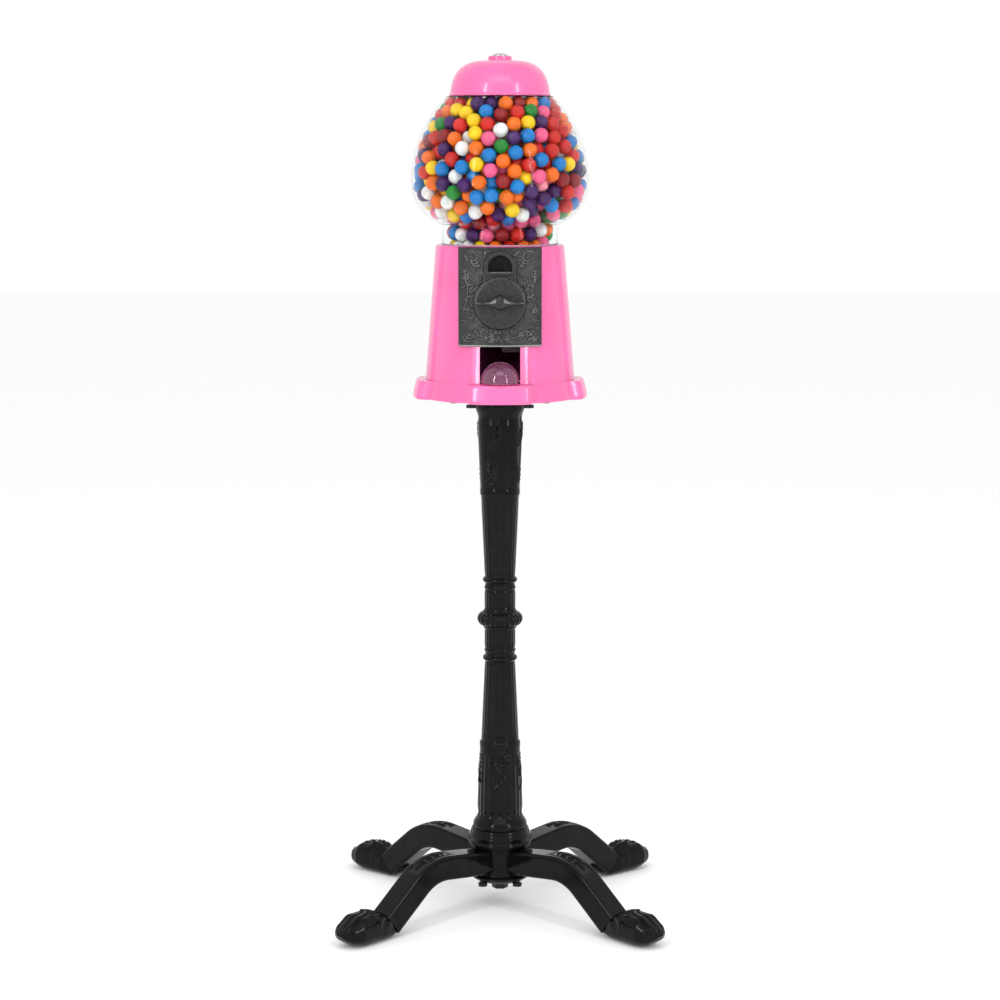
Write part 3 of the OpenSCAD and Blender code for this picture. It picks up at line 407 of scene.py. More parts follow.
# Nodes inside the machine and under it that are given dark steel instead of the finish of their slot: painted
# shade for parts that sit in shade, such as the wheels seen through the coin window and the screws under the
# flange and hub
DARK_NODES = (
    "coin_wheel", "ratchet_wheel", "pawl", "mech_frame", "leg_screws", "stand_nut", "stand_washer", "shaft",
    "saddle_screws", "saddle_nuts", "bottom_screws", "drop_cover", "cover_screw",
)


def make_finishes(colours):
    """All finishes, one for each material slot of the record."""
    FINISHES.update(
        pink_paint=pink_enamel(colours),
        black_paint=black_enamel(colours),
        pewter=pewter(colours),
        zinc_steel=zinc(colours),
        oiled_steel=oiled_steel(colours),
        bright_nut=nickel(colours),
        brass=brass(colours),
        glass=clear_glass(),
        clear_plastic=clear_plastic(),
        white_plastic=moulded("white_plastic", tuple(colours.cream), 0.34),
        maroon_plastic=moulded("maroon_plastic", tuple(colours.maroon), 0.22),
        gasket_rubber=moulded("gasket_rubber", tuple(colours.gasket), 0.3, Transmission_Weight=0.35),
    )


# ---------- Mesh tools ----------


def finish_piece(name, bm, slot, nodes, body="machine", material=None, sharp_deg=38, wear_and_highlight=None):
    """Makes the object of a piece modelled in millimetres, gives it its finish, puts it on its body and hides
    the CAD nodes it stands for.
    """
    bmesh.ops.scale(bm, vec=(MM, MM, MM), verts=bm.verts)
    sharp = math.radians(sharp_deg)
    for face in bm.faces:
        face.smooth = True
    for edge in bm.edges:
        if len(edge.link_faces) == 2 and edge.calc_face_angle(0.0) > sharp:
            edge.smooth = False
    mesh = bpy.data.meshes.new(name)
    bm.to_mesh(mesh)
    bm.free()
    mesh.materials.append(material or FINISHES[slot])
    # Attribute for rubbed places and painted highlights, zero where no function is given
    values = mesh.attributes.new("wear_and_highlight", "FLOAT", "POINT")
    if wear_and_highlight is not None:
        values.data.foreach_set("value", wear_and_highlight(points_of(mesh) / MM).astype(np.float32))
    piece = bpy.data.objects.new(name, mesh)
    bpy.context.scene.collection.objects.link(piece)
    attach(piece, body)
    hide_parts(*nodes)
    return piece


def points_of(mesh):
    """The mesh's points as an array."""
    points = np.empty(len(mesh.vertices) * 3, np.float32)
    mesh.vertices.foreach_get("co", points)
    return points.reshape(-1, 3)


def tidy(bm, distance=0.001):
    """Merges doubles and turns all faces outwards."""
    bmesh.ops.remove_doubles(bm, verts=bm.verts, dist=distance)
    bmesh.ops.recalc_face_normals(bm, faces=bm.faces)


def join(bm, part):
    """Adds another mesh to a mesh and frees it."""
    mesh = bpy.data.meshes.new("part")
    part.to_mesh(mesh)
    part.free()
    bm.from_mesh(mesh)
    bpy.data.meshes.remove(mesh)


def turn_back(bm, edges, depths):
    """Draws edges backwards along Y, one strip of faces for each depth."""
    for depth in depths:
        drawn = bmesh.ops.extrude_edge_only(bm, edges=edges)["geom"]
        moved = [g for g in drawn if isinstance(g, bmesh.types.BMVert)]
        edges = [g for g in drawn if isinstance(g, bmesh.types.BMEdge)]
        bmesh.ops.translate(bm, vec=(0, depth, 0), verts=moved)


def reshape(bm, move):
    """Moves every point by a function from an array of points to an array of points."""
    points = np.array([v.co[:] for v in bm.verts])
    for vert, place in zip(bm.verts, move(points)):
        vert.co = place


def curved_sheet(columns, rows, place, wrap=False, caps=False):
    """A grid laid over a surface. place turns arrays u, v from 0 to 1 into an array of points."""
    bm = bmesh.new()
    bmesh.ops.create_grid(bm, x_segments=columns, y_segments=rows, size=0.5)
    reshape(bm, lambda p: place(p[:, 0] + 0.5, p[:, 1] + 0.5))
    if wrap:
        bmesh.ops.remove_doubles(bm, verts=bm.verts, dist=0.0005)
    if caps:
        bmesh.ops.holes_fill(bm, edges=[e for e in bm.edges if e.is_boundary], sides=0)
    bmesh.ops.recalc_face_normals(bm, faces=bm.faces)
    return bm


def spun(profile, steps, closed=False):
    """The shape turned about the axis from a profile of radius and height."""
    bm = bmesh.new()
    verts = [bm.verts.new((r, 0, z)) for r, z in profile]
    pairs = list(zip(verts, verts[1:]))
    if closed:
        pairs.append((verts[-1], verts[0]))
    edges = [bm.edges.new(pair) for pair in pairs]
    bmesh.ops.spin(
        bm, geom=verts + edges, cent=(0, 0, 0), axis=(0, 0, 1), angle=2 * math.pi, steps=steps, use_merge=True
    )
    tidy(bm)
    return bm


def rounded(corners, steps=4):
    """A profile from corners of radius, height and fillet, with its corners rounded."""
    points = []
    for i, (r, z, fillet) in enumerate(corners):
        here = Vector((r, z))
        if fillet == 0 or i in (0, len(corners) - 1):
            points.append((r, z))
            continue
        before = Vector(corners[i - 1][:2]) - here
        after = Vector(corners[i + 1][:2]) - here
        a = here + before.normalized() * min(fillet, before.length * 0.48)
        b = here + after.normalized() * min(fillet, after.length * 0.48)
        for k in range(steps + 1):
            t = k / steps
            points.append(tuple(a * (1 - t) ** 2 + here * 2 * t * (1 - t) + b * t * t))
    return points


def fine(profile, longest):
    """The profile with more points, none further apart than longest."""
    points = [profile[0]]
    for a, b in zip(profile, profile[1:]):
        count = max(1, math.ceil(math.dist(a, b) / longest))
        dx, dz = b[0] - a[0], b[1] - a[1]
        points += [(a[0] + dx * k / count, a[1] + dz * k / count) for k in range(1, count + 1)]
    return points


def arc(cx, cz, r, start_deg, end_deg, steps):
    """Points of an arc in the plane of radius and height."""
    angles = [math.radians(start_deg + (end_deg - start_deg) * k / steps) for k in range(steps + 1)]
    return [(cx + r * math.cos(a), cz + r * math.sin(a)) for a in angles]


def smooth_step(x):
    """0 below 0, 1 above 1 and a soft step between."""
    t = np.clip(x, 0.0, 1.0)
    return t * t * (3 - 2 * t)


def spiral(cx, cy, r0, r1, start_deg, turn_deg, steps=18):
    """A spiral stroke that starts r0 from its centre and ends r1 from it."""
    points = []
    for k in range(steps + 1):
        t = k / steps
        a = math.radians(start_deg + turn_deg * t)
        r = r0 + (r1 - r0) * t
        points.append((cx + r * math.cos(a), cy + r * math.sin(a)))
    return points


def leaf(x, y, size, angle_deg, lobes=3):
    """Strokes of a leaf: a midrib and pairs of side lobes that curl forwards."""
    a = math.radians(angle_deg)
    along = np.array((math.cos(a), math.sin(a)))
    across = np.array((-along[1], along[0]))
    root = np.array((x, y))
    strokes = [[tuple(root), tuple(root + along * size)]]
    for k in range(lobes):
        start = root + along * size * (0.1 + 0.25 * k)
        reach = size * (0.42 - 0.08 * k)
        for side in (-1, 1):
            middle = start + along * reach * 0.35 + across * side * reach * 0.8
            tip = start + along * reach * 1.0 + across * side * reach * 0.95
            strokes.append([tuple(start), tuple(middle), tuple(tip)])
    return strokes


def stroke_height(x, y, strokes, half_width):
    """Height from 0 to 1 of raised strokes at each place, highest on their middle lines."""
    nearest = np.full(x.shape, np.inf)
    for stroke in strokes:
        low, high = np.min(stroke, axis=0) - half_width, np.max(stroke, axis=0) + half_width
        near = np.nonzero((x > low[0]) & (x < high[0]) & (y > low[1]) & (y < high[1]))[0]
        px, py = x[near], y[near]
        for k, (a, b) in enumerate(zip(stroke, stroke[1:])):
            dx, dy = b[0] - a[0], b[1] - a[1]
            t = np.clip(((px - a[0]) * dx + (py - a[1]) * dy) / (dx * dx + dy * dy + 1e-9), 0, 1)
            taper = 1.0 + 0.6 * (k + t) / max(1, len(stroke) - 1)
            distance = np.hypot(px - a[0] - t * dx, py - a[1] - t * dy) * taper
            nearest[near] = np.minimum(nearest[near], distance)
    return np.clip(1 - (nearest / half_width) ** 2, 0, 1) ** 0.7


# ---------- Lid ----------


class GUMBALL_OT_lid(bpy.types.Operator):
    """Domed lid with a rim and a flat boss."""

    bl_idname = "gumball.lid"
    bl_label = "Lid"

    def execute(self, context):
        s = context.scene.gumball_head
        foot_z = box_mm("lid")[0][2]
        top_z = box_mm("lid")[1][2]
        dome_angles = [math.radians(90 - 90 * k / 40) for k in range(41)]
        dome = [
            (s.lid_skirt * math.sqrt(math.cos(a)), foot_z + s.lid_height * math.sin(a))
            for a in dome_angles
        ]
        outside = [p for p in dome if p[0] > s.boss_radius + 1.2 and p[1] > foot_z + 3.4]
        bore = 6.1
        boss = rounded([
            (bore, top_z - 6, 0), (bore, top_z, 0.5), (s.boss_radius, top_z, 1.0),
            (s.boss_radius, foot_z + s.lid_height - 0.1, 0.9), (outside[0][0], outside[0][1], 0),
        ])
        rim = rounded([
            (*outside[-1], 0), (s.lid_skirt, foot_z + 3.0, 0.8), (s.lid_radius + 0.2, foot_z + 1.7, 0.9),
            (s.lid_radius, foot_z, 0.7), (s.lid_skirt - s.lid_wall, foot_z, 0.4),
            (s.lid_skirt - s.lid_wall - 0.2, foot_z + 6, 0),
        ])
        inside = [(r - s.lid_wall, z - s.lid_wall) for r, z in reversed(outside) if z > foot_z + 12]
        bm = spun(boss[:-1] + outside + rim[1:] + inside, 144, closed=True)
        finish_piece("lid_dome", bm, "pink_paint", ["lid"], "lid_cap")
        return {"FINISHED"}


class GUMBALL_OT_lid_nut(bpy.types.Operator):
    """Cap nut on the lid: a low domed head on a shank that reaches into the lid."""

    bl_idname = "gumball.lid_nut"
    bl_label = "Cap nut"

    def execute(self, context):
        low, high = box_mm("lid_nut")
        radius = high[0]
        seat = box_mm("lid")[1][2] + 0.1
        head = high[2] - seat
        bore, shank = 4.1, 5.9
        profile = rounded([
            (0, high[2], 0), (radius * 0.45, high[2] - 0.15, 1.2), (radius * 0.88, seat + head * 0.62, 0.8),
            (radius, seat + head * 0.3, 0.6), (radius, seat, 0.25), (shank, seat, 0.2), (shank, low[2], 0.4),
            (bore, low[2], 0.3), (bore, seat - 2, 0), (0, seat - 1, 0),
        ])
        finish_piece("cap_nut_head", spun(profile, 72), "bright_nut", ["lid_nut"], "cap_nut")
        return {"FINISHED"}


# ---------- Globe and gumballs ----------

# The hopper's rim lies this far outside its bowl, and the bowl has this wall
HOPPER_RIM = 3.5
HOPPER_WALL = 2

# Colours that gather in one part of the load: how much more of them there is, and the range of that part
# in x and in z as shares of the load's width and height
DRIFTS = (
    ("purple", 3.0, (-1, 0.45), (-1, 0.5)),
    ("white", 1.5, (-1, 0.4), (-1, 0.55)),
    ("green", 2.2, (0.5, 2), (-1, 0.45)),
    ("pink", 1.4, (0.55, 2), (-1, 0.55)),
    ("red", 1.4, (-1, 2), (0.6, 2)),
    ("orange", 0.8, (-1, 2), (0.5, 2)),
    ("blue", 1.6, (0.3, 0.8), (0.35, 0.7)),
)


def globe_outline(s, foot_z, inwards, steps=40):
    """Outline of the glass from the collar's foot to the shoulder, moved inwards."""
    wide_z = foot_z + s.globe_low_height
    low_c = s.globe_radius - s.globe_low_radius
    up_c = s.globe_radius - s.globe_up_radius
    low_r = s.globe_low_radius - inwards
    up_r = s.globe_up_radius - inwards
    start = -math.degrees(math.acos((s.collar_radius - inwards - low_c) / low_r))
    end = math.degrees(math.asin((s.globe_up_height - inwards) / up_r))
    low = arc(low_c, wide_z, low_r, start, 0, steps)
    return low + arc(up_c, wide_z, up_r, 0, end, steps)[1:]


class GUMBALL_OT_globe(bpy.types.Operator):
    """Glass globe with its collar and neck, and the gasket under it."""

    bl_idname = "gumball.globe"
    bl_label = "Glass globe"

    def execute(self, context):
        s = context.scene.gumball_head
        low, high = box_mm("globe")
        foot_z, neck_z = low[2], high[2]
        outside = globe_outline(s, foot_z, 0)
        inside = globe_outline(s, foot_z, s.pane)
        neck = rounded([
            (*outside[-1], 0), (s.neck_radius, outside[-1][1] + 0.1, 1.0), (s.neck_radius, neck_z, 0.8),
            (s.neck_radius - s.pane, neck_z, 0.5), (s.neck_radius - s.pane, inside[-1][1] + 0.2, 0.5),
            (*inside[-1], 0),
        ])
        foot = rounded([
            (*inside[0], 0), (s.collar_radius - s.pane, foot_z, 0.5), (s.collar_radius, foot_z, 0.5),
            (*outside[0], 0),
        ])
        bm = spun(outside[:-1] + neck + inside[::-1][1:] + foot[1:-1], 160, closed=True)
        finish_piece("globe_glass", bm, "glass", ["globe"])

        g_low, g_high = box_mm("globe_gasket")
        r_out, z0, z1 = g_high[0], g_low[2], g_high[2]
        r_in = box_mm("hopper")[1][0] - HOPPER_RIM
        ring = rounded([
            (r_in, z0, 0), (r_out, z0, 0.4), (r_out, z1, 0.4), (s.collar_radius + 0.3, z1, 0), (r_in, z1, 0),
        ])
        finish_piece("globe_gasket_ring", spun(ring, 120, closed=True), "gasket_rubber", ["globe_gasket"])
        return {"FINISHED"}


def container_radius(s, heights, foot_z, floor_z, radius):
    """How far from the axis a ball's centre may lie at each height."""
    gap = 0.1
    side = globe_outline(s, foot_z, s.pane + radius + gap)
    bowl_r = box_mm("hopper")[1][0] - HOPPER_RIM - HOPPER_WALL - radius - gap
    zs = [floor_z, foot_z - 2] + [z for _, z in side]
    rs = [bowl_r, bowl_r] + [r for r, _ in side]
    return np.interp(heights, zs, rs)


def settle_balls(s):
    """Centres of the gumballs: a loose lattice that is pushed apart until the balls only touch."""
    rng = np.random.default_rng(s.seed)
    radius = s.ball / 2
    foot_z = box_mm("globe")[0][2]
    floor_z = box_mm("gumballs")[0][2] + radius
    heap = 3
    top_z = box_mm("gumballs")[1][2] - radius + heap
    pitch = s.ball * 0.905
    reach = np.arange(-100, 100, pitch)
    levels = np.arange(floor_z, top_z + 1, pitch)
    grid = np.array(np.meshgrid(reach, reach, levels)).reshape(3, -1).T
    grid += rng.uniform(-0.3, 0.3, grid.shape) * pitch
    flat = np.hypot(grid[:, 0], grid[:, 1])
    limit = container_radius(s, grid[:, 2], foot_z, floor_z, radius)
    centres = grid[(flat < limit + 2.0) & (flat > radius * 0.6)]
    rod = box_mm("center_rod")[1][0] + radius + 0.3
    for step in range(400):
        if step % 10 == 0:
            gaps = centres[:, None, :] - centres[None, :, :]
            first, second = np.nonzero(np.triu((gaps ** 2).sum(-1) < (s.ball * 1.3) ** 2, 1))
        gap = centres[first] - centres[second]
        distance = np.sqrt((gap ** 2).sum(-1)) + 1e-6
        push = gap * (np.clip(s.ball - distance, 0, None) / distance * 0.42)[:, None]
        np.add.at(centres, first, push)
        np.add.at(centres, second, -push)
        centres[:, :2] *= 1 + 0.007 * max(0, 1 - step / 140)
        centres[:, 2] = np.clip(centres[:, 2], floor_z, top_z)
        flat = np.hypot(centres[:, 0], centres[:, 1]) + 1e-6
        limit = container_radius(s, centres[:, 2], foot_z, floor_z, radius)
        share = np.clip(flat, rod, np.maximum(limit, rod)) / flat
        centres[:, :2] *= share[:, None]
    return centres, rng


def ball_colour_names(centres, rng):
    """A colour for every ball, with loose drifts of one colour as in a poured mix."""
    names = list(BALL_COLOURS)
    weights = np.array([BALL_COLOURS[n][1] for n in names])
    low, high = centres.min(0), centres.max(0)
    place = (centres - low) / (high - low)
    chosen = []
    for x, _, z in place:
        share = weights.copy()
        for name, more, (x0, x1), (z0, z1) in DRIFTS:
            if x0 < x < x1 and z0 < z < z1:
                share[names.index(name)] *= 1 + more
        chosen.append(names[rng.choice(len(names), p=share / share.sum())])
    return chosen


def unit_ball():
    """Mesh of a ball of radius 1 as a rounded cube of 96 quads."""
    bm = bmesh.new()
    bmesh.ops.create_cube(bm, size=1.0)
    bmesh.ops.subdivide_edges(bm, edges=bm.edges[:], cuts=3, use_grid_fill=True)
    reshape(bm, lambda p: p / np.linalg.norm(p, axis=1)[:, None])
    mesh = bpy.data.meshes.new("unit_ball")
    bm.to_mesh(mesh)
    bm.free()
    return mesh


class GUMBALL_OT_gumballs(bpy.types.Operator):
    """The load of gumballs, one piece for each colour."""

    bl_idname = "gumball.gumballs"
    bl_label = "Gumballs"

    def execute(self, context):
        s = context.scene.gumball_head
        centres, rng = settle_balls(s)
        names = ball_colour_names(centres, rng)
        unit = unit_ball()
        for name, (base, _) in BALL_COLOURS.items():
            bm = bmesh.new()
            for centre in centres[[n == name for n in names]]:
                start = len(bm.verts)
                bm.from_mesh(unit)
                bm.verts.ensure_lookup_table()
                turn = Matrix.Rotation(rng.uniform(0, math.pi), 3, Vector(rng.normal(size=3)))
                size = s.ball / 2 * rng.uniform(0.985, 1.0)
                for v in bm.verts[start:]:
                    v.co = turn @ v.co * size + Vector(centre)
            shell = sugar_shell(name, base)
            finish_piece("gumballs_" + name, bm, "gumballs", ["gumballs"], material=shell, sharp_deg=80)
        bpy.data.meshes.remove(unit)
        return {"FINISHED"}


# ---------- Body ----------


def in_hole(x, y, z, holes):
    """True where a front place lies inside one of the holes of half width, foot and top."""
    return any(abs(x) < w and z0 < z < z1 and y < 0 for w, z0, z1 in holes)


def body_places():
    """Heights, widths and holes of the body, in millimetres."""
    low, high = box_mm("body")
    plate_low, plate_high = box_mm("coin_plate")
    flange_height = 20
    shoulder_z = low[2] + flange_height
    sill_z = shoulder_z + 1
    chute_half, chute_height = 21.5, 40
    return SimpleNamespace(
        base_z=low[2], top_z=high[2], shoulder_z=shoulder_z, sill_z=sill_z, lip_r=box_mm("hopper")[1][0],
        plate_low=plate_low[2], plate_high=plate_high[2],
        # half width, foot and top of the chute's opening and of the hole behind the coin plate
        chute=(chute_half, sill_z, sill_z + chute_height), tunnel=(39.5, 636.0, 728.5),
        # half widths of the two steps of the front pilaster beside the chute, and of the plate's seat
        wide_step=39.5, narrow_step=30.5, seat_half=44,
    )


def body_profile(s, at):
    """Outline of the body without its pilasters and lobes, with points at the edges of its holes."""
    edge = rounded([
        (75.5, at.base_z + 12, 0), (75.5, at.base_z + 3, 0), (77.5, at.base_z + 3, 0), (77.5, at.base_z, 0),
        (s.flange - 0.6, at.base_z, 1.6), (s.flange, at.base_z + 4, 2.0),
        (s.flange - 3.6, at.shoulder_z - 0.6, 5.5), (s.body_bottom, at.shoulder_z, 2.0),
        (s.body_top, at.top_z, 3.0), (at.lip_r + 0.4, at.top_z, 0.5),
        (at.lip_r + 0.4, at.top_z - 3, 0), (at.lip_r - 4, at.top_z - 3, 0),
    ], 8)
    levels = [at.sill_z, at.chute[2], at.plate_low - 0.3, at.tunnel[1], at.tunnel[2]]
    profile = []
    for a, b in zip(edge, edge[1:]):
        profile.append(a)
        if b[1] - a[1] > 20:
            stops = sorted(levels + list(np.arange(a[1] + 2.5, b[1] - 1, 2.5)))
            profile += [(a[0] + (b[0] - a[0]) * (z - a[1]) / (b[1] - a[1]), z) for z in stops]
    profile.append(edge[-1])
    return profile


def body_relief(s, at):
    """Function that gives the turned body its lobes, pilasters, steps and the seat of the plate."""

    def swell(points):
        """Moves the body's points outwards."""
        x, y, z = points.T
        r = np.hypot(x, y)
        ux, uy = x / r, y / r
        across_side, across_front = np.abs(uy * r), np.abs(ux * r)
        new = r.copy()
        outer = r > at.lip_r + 3.5
        # lobes of the flange fade out towards the foot of the cone
        in_flange = outer & (z <= at.shoulder_z + 0.3)
        lobe = np.maximum(
            smooth_step((s.lobe_width / 2 - across_side) / 12 + 0.5),
            smooth_step((s.lobe_width / 2 - across_front) / 12 + 0.5),
        )
        weight = np.clip((r - s.body_bottom) / (s.flange - 6 - s.body_bottom), 0, 1)
        new += np.where(in_flange, lobe * weight * (s.lobe - s.flange), 0)
        # side and back pilasters
        on_cone = outer & (z > at.shoulder_z - 1)
        rise = smooth_step((z - at.shoulder_z + 1) / 2) * smooth_step((at.top_z - z) / 3 + 0.35)
        side = smooth_step((s.pilaster / 2 - across_side) / 7 + 0.5)
        back = smooth_step((s.pilaster / 2 - across_front) / 7 + 0.5) * (y > 0)
        new += np.where(on_cone, np.maximum(side, back) * s.pilaster_proud * rise, 0)
        # front pilaster in two steps beside the chute
        below = smooth_step((at.plate_low + 2 - z) / 2) * (y < 0)
        steps = 1.25 * smooth_step((at.wide_step - across_front) / 4 + 0.5)
        steps += 2.25 * smooth_step((at.narrow_step - across_front) / 4 + 0.5)
        new += np.where(on_cone, steps * rise * below, 0)
        # seat of the coin plate
        plate_level = (z > at.plate_low - 0.4) & (z < at.plate_high - 0.6)
        seat = on_cone & (y < 0) & (across_front < at.seat_half) & plate_level
        new = np.where(seat, np.maximum(new, s.plate_radius - 4.0), new)
        return np.column_stack((ux * new, uy * new, z))

    return swell


def cut_body(bm, at):
    """Cuts the chute's opening and the hole behind the plate, and turns their rims inwards."""
    middles = {f: f.calc_center_median() for f in bm.faces}
    gone = [f for f, m in middles.items() if in_hole(*m, [at.chute, at.tunnel]) and m.xy.length > at.lip_r]
    bmesh.ops.delete(bm, geom=gone, context="FACES")
    front = [e for e in bm.edges if e.is_boundary and e.verts[0].co.y < -40]
    rim = [e for e in front if at.sill_z - 1 < e.verts[0].co.z < at.tunnel[2] + 1]
    for vert in {v for e in rim for v in e.verts}:
        half = at.chute[0] if vert.co.z < at.chute[2] + 1 else at.tunnel[0]
        if abs(abs(vert.co.x) - half) < 1.0:
            r = math.hypot(vert.co.x, vert.co.y)
            vert.co.x = math.copysign(half, vert.co.x)
            vert.co.y = -math.sqrt(r * r - half * half)
    turn_back(bm, rim, (0.5, 4.0))


class GUMBALL_OT_body(bpy.types.Operator):
    """Tapered body with pilasters, lobed foot flange, chute opening and seat for the coin plate."""

    bl_idname = "gumball.body"
    bl_label = "Body"

    def execute(self, context):
        s = context.scene.gumball_head
        at = body_places()
        bm = spun(body_profile(s, at), 720)
        reshape(bm, body_relief(s, at))
        cut_body(bm, at)
        bmesh.ops.recalc_face_normals(bm, faces=bm.faces)
        finish_piece("body_casting", bm, "pink_paint", ["body"], sharp_deg=50)
        return {"FINISHED"}


# ---------- Coin plate and handle ----------


def arch_distance(x, z, centre_z, radius, low):
    """Signed distance to an arch: a circle with a box under it."""
    circle = np.hypot(x, z - centre_z) - radius
    dx = np.abs(x) - radius
    dz = np.maximum(z - centre_z, centre_z - low - z)
    box = np.minimum(np.maximum(dx, dz), 0) + np.hypot(np.maximum(dx, 0), np.maximum(dz, 0))
    return np.maximum(np.minimum(circle, box), centre_z - low - z)


def plate_strokes(half, height):
    """Scrolls and leaves of the coin plate, as strokes from its middle in millimetres."""
    stem = [
        (half * 0.86 - 4.0 * math.sin(t * 5.2), height * (0.20 - 0.50 * t)) for t in np.linspace(0, 1, 22)
    ]
    swag = [
        (half * (0.62 - 0.56 * t), -height * (0.335 + 0.07 * math.sin(t * math.pi)))
        for t in np.linspace(0, 1, 16)
    ]
    # scroll in the upper corner with leaves under it
    right = [spiral(half * 0.72, height * 0.40, 7.5, 1.2, 200, -470, 26)]
    right += leaf(half * 0.50, height * 0.30, 13, 62)
    right += leaf(half * 0.86, height * 0.27, 11, -100)
    # long stem down the side with its curls
    right.append(stem)
    for t in (0.18, 0.42, 0.66, 0.9):
        x, y = half * 0.86 - 4.0 * math.sin(t * 5.2), height * (0.20 - 0.50 * t)
        right.append(spiral(x - 3.5, y - 1.5, 3.6, 1.0, 20, 290, 10))
    # foot corner and the swag that meets in the middle
    right += leaf(half * 0.88, -height * 0.45, 15, 128)
    right.append(swag)
    right.append(spiral(half * 0.62, -height * 0.385, 4.6, 1.0, 90, 330, 14))
    right += leaf(half * 0.12, -height * 0.43, 10, 12, 2)
    strokes = [[(side * x, y) for x, y in stroke] for side in (-1, 1) for stroke in right]
    # short curled leaves that fill the ground between the scrolls
    rng = np.random.default_rng(4)
    for _ in range(130):
        x, y = rng.uniform(-half * 0.9, half * 0.9), rng.uniform(-height * 0.46, height * 0.46)
        turn = rng.choice((-1, 1)) * rng.uniform(70, 170)
        start_r, end_r, start = rng.uniform(2.5, 5.5), rng.uniform(0.8, 2.5), rng.uniform(0, 360)
        strokes.append(spiral(x, y, start_r, end_r, start, turn, 7))
    return strokes


class PlateFace:
    """Shape of the coin plate's face and how bright its metal is made, by rubbing and by painted highlights,
    at places across it and up it.
    """

    window_above_handle = 37.4
    sill_drop = 4.4

    def __init__(self, s):
        low, high = box_mm("coin_plate")
        handle_low, handle_high = box_mm("handle")
        self.s = s
        self.half, self.foot_z, self.top_z = high[0], low[2], high[2]
        self.middle_z, self.height = (self.foot_z + self.top_z) / 2, self.top_z - self.foot_z
        self.handle_z = (handle_low[2] + handle_high[2]) / 2
        self.coin_z = self.handle_z + self.window_above_handle
        self.front_y = low[1]
        self.strokes = plate_strokes(self.half, self.height)

    def window_distance(self, x, z):
        """Signed distance to the edge of the coin window."""
        return arch_distance(x, z, self.coin_z, self.s.window_radius, self.sill_drop)

    def near_window(self, place):
        """True for a place on the edge of the coin window, false for one on the plate's edge."""
        reach = self.s.window_radius + 1
        return abs(place.x) < reach and abs(place.z - self.coin_z) < reach + 1

    def surface(self, x, z):
        """Distance of the face from the axis plane, and how bright the metal is made there: rubbed relief, a
        brighter foot edge and sill, and a painted highlight on the bezel's upper edge.
        """
        s, handle_z = self.s, self.handle_z
        bezel = np.minimum(
            arch_distance(x, z, self.coin_z, s.window_radius + 5, self.coin_z - handle_z),
            np.hypot(x, z - handle_z) - s.disc_radius - 1,
        )
        relief = stroke_height(x, z - self.middle_z, self.strokes, 1.25)
        border = np.minimum(self.half - np.abs(x), np.minimum(z - self.foot_z, self.top_z - z))
        frame_lip = smooth_step((2.2 - border) / 0.8) * smooth_step(border / 0.7)
        open_ground = smooth_step(bezel / 1.2) * smooth_step((border - 2.4) / 1.2)
        curve = -np.sqrt(s.plate_radius ** 2 - x * x)
        ground = curve + 0.9 - 1.1 * relief * open_ground - 0.5 * frame_lip
        raised = smooth_step(-bezel / 0.9 + 0.5)
        inner = self.window_distance(x, z)
        lip = smooth_step((2.4 - np.abs(inner - 2.2)) / 1.2)
        bezel_face = self.front_y + 0.9 - 0.9 * lip
        y = ground * (1 - raised) + np.minimum(bezel_face, ground) * raised
        # Painted highlight: the bezel's edge is made bright only above the handle's middle, where light from
        # above falls on it
        bezel_edge_highlight = np.clip(1 - np.abs(bezel + 0.4) / 0.7, 0, 1) * (z > handle_z - 2)
        foot_edge = smooth_step((2.0 - (z - self.foot_z)) / 0.8)
        on_sill = (z < self.coin_z - 3.8) & (np.abs(x) < s.window_radius - 1)
        sill = smooth_step((0.6 - np.abs(inner)) / 0.5 + 1.0) * on_sill
        rubbed = np.clip(relief * 1.6 - 0.8, 0, 1) * open_ground
        places = [rubbed * 0.42, bezel_edge_highlight * 0.5, foot_edge * 0.9, lip * raised * 0.16, sill * 0.6]
        return y, np.maximum.reduce(places)

    def place(self, u, v):
        """Points of the face's grid. Those close to the window's edge are moved onto it."""
        x, z = (u * 2 - 1) * self.half, self.foot_z + v * self.height
        inner = self.window_distance(x, z)
        step = 0.01
        gx = (self.window_distance(x + step, z) - inner) / step
        gz = (self.window_distance(x, z + step) - inner) / step
        close = np.abs(inner) < 0.24
        x = np.where(close, x - inner * gx, x)
        z = np.where(close, z - inner * gz, z)
        y, _ = self.surface(x, z)
        return np.column_stack((x, y, z))

    def wear_and_highlight(self, points):
        """Brightness of the finished piece's points from rubbing and painted highlights, none behind its
        face.
        """
        x, y, z = points.T
        return self.surface(x, z)[1] * (y < -np.sqrt(np.maximum(self.s.plate_radius ** 2 - x * x, 1)) + 1.6)


class GUMBALL_OT_coin_plate(bpy.types.Operator):
    """Cast coin plate with its keyhole bezel, coin window, scrolls and leaves."""

    bl_idname = "gumball.coin_plate"
    bl_label = "Coin plate"

    def execute(self, context):
        face = PlateFace(context.scene.gumball_head)
        columns, rows = 232, 276
        bm = curved_sheet(columns, rows, face.place)
        gone = [f for f in bm.faces if face.window_distance(*f.calc_center_median().xz) < -0.05]
        bmesh.ops.delete(bm, geom=gone, context="FACES")
        rim = [e for e in bm.edges if e.is_boundary]
        window = [e for e in rim if face.near_window(e.verts[0].co)]
        sides = [e for e in rim if not face.near_window(e.verts[0].co)]
        turn_back(bm, window, (0.3, 6.6))
        turn_back(bm, sides, (0.25, 3.2))
        bmesh.ops.recalc_face_normals(bm, faces=bm.faces)
        finish_piece("coin_plate_casting", bm, "pewter", ["coin_plate"], sharp_deg=60, wear_and_highlight=face.wear_and_highlight)
        return {"FINISHED"}


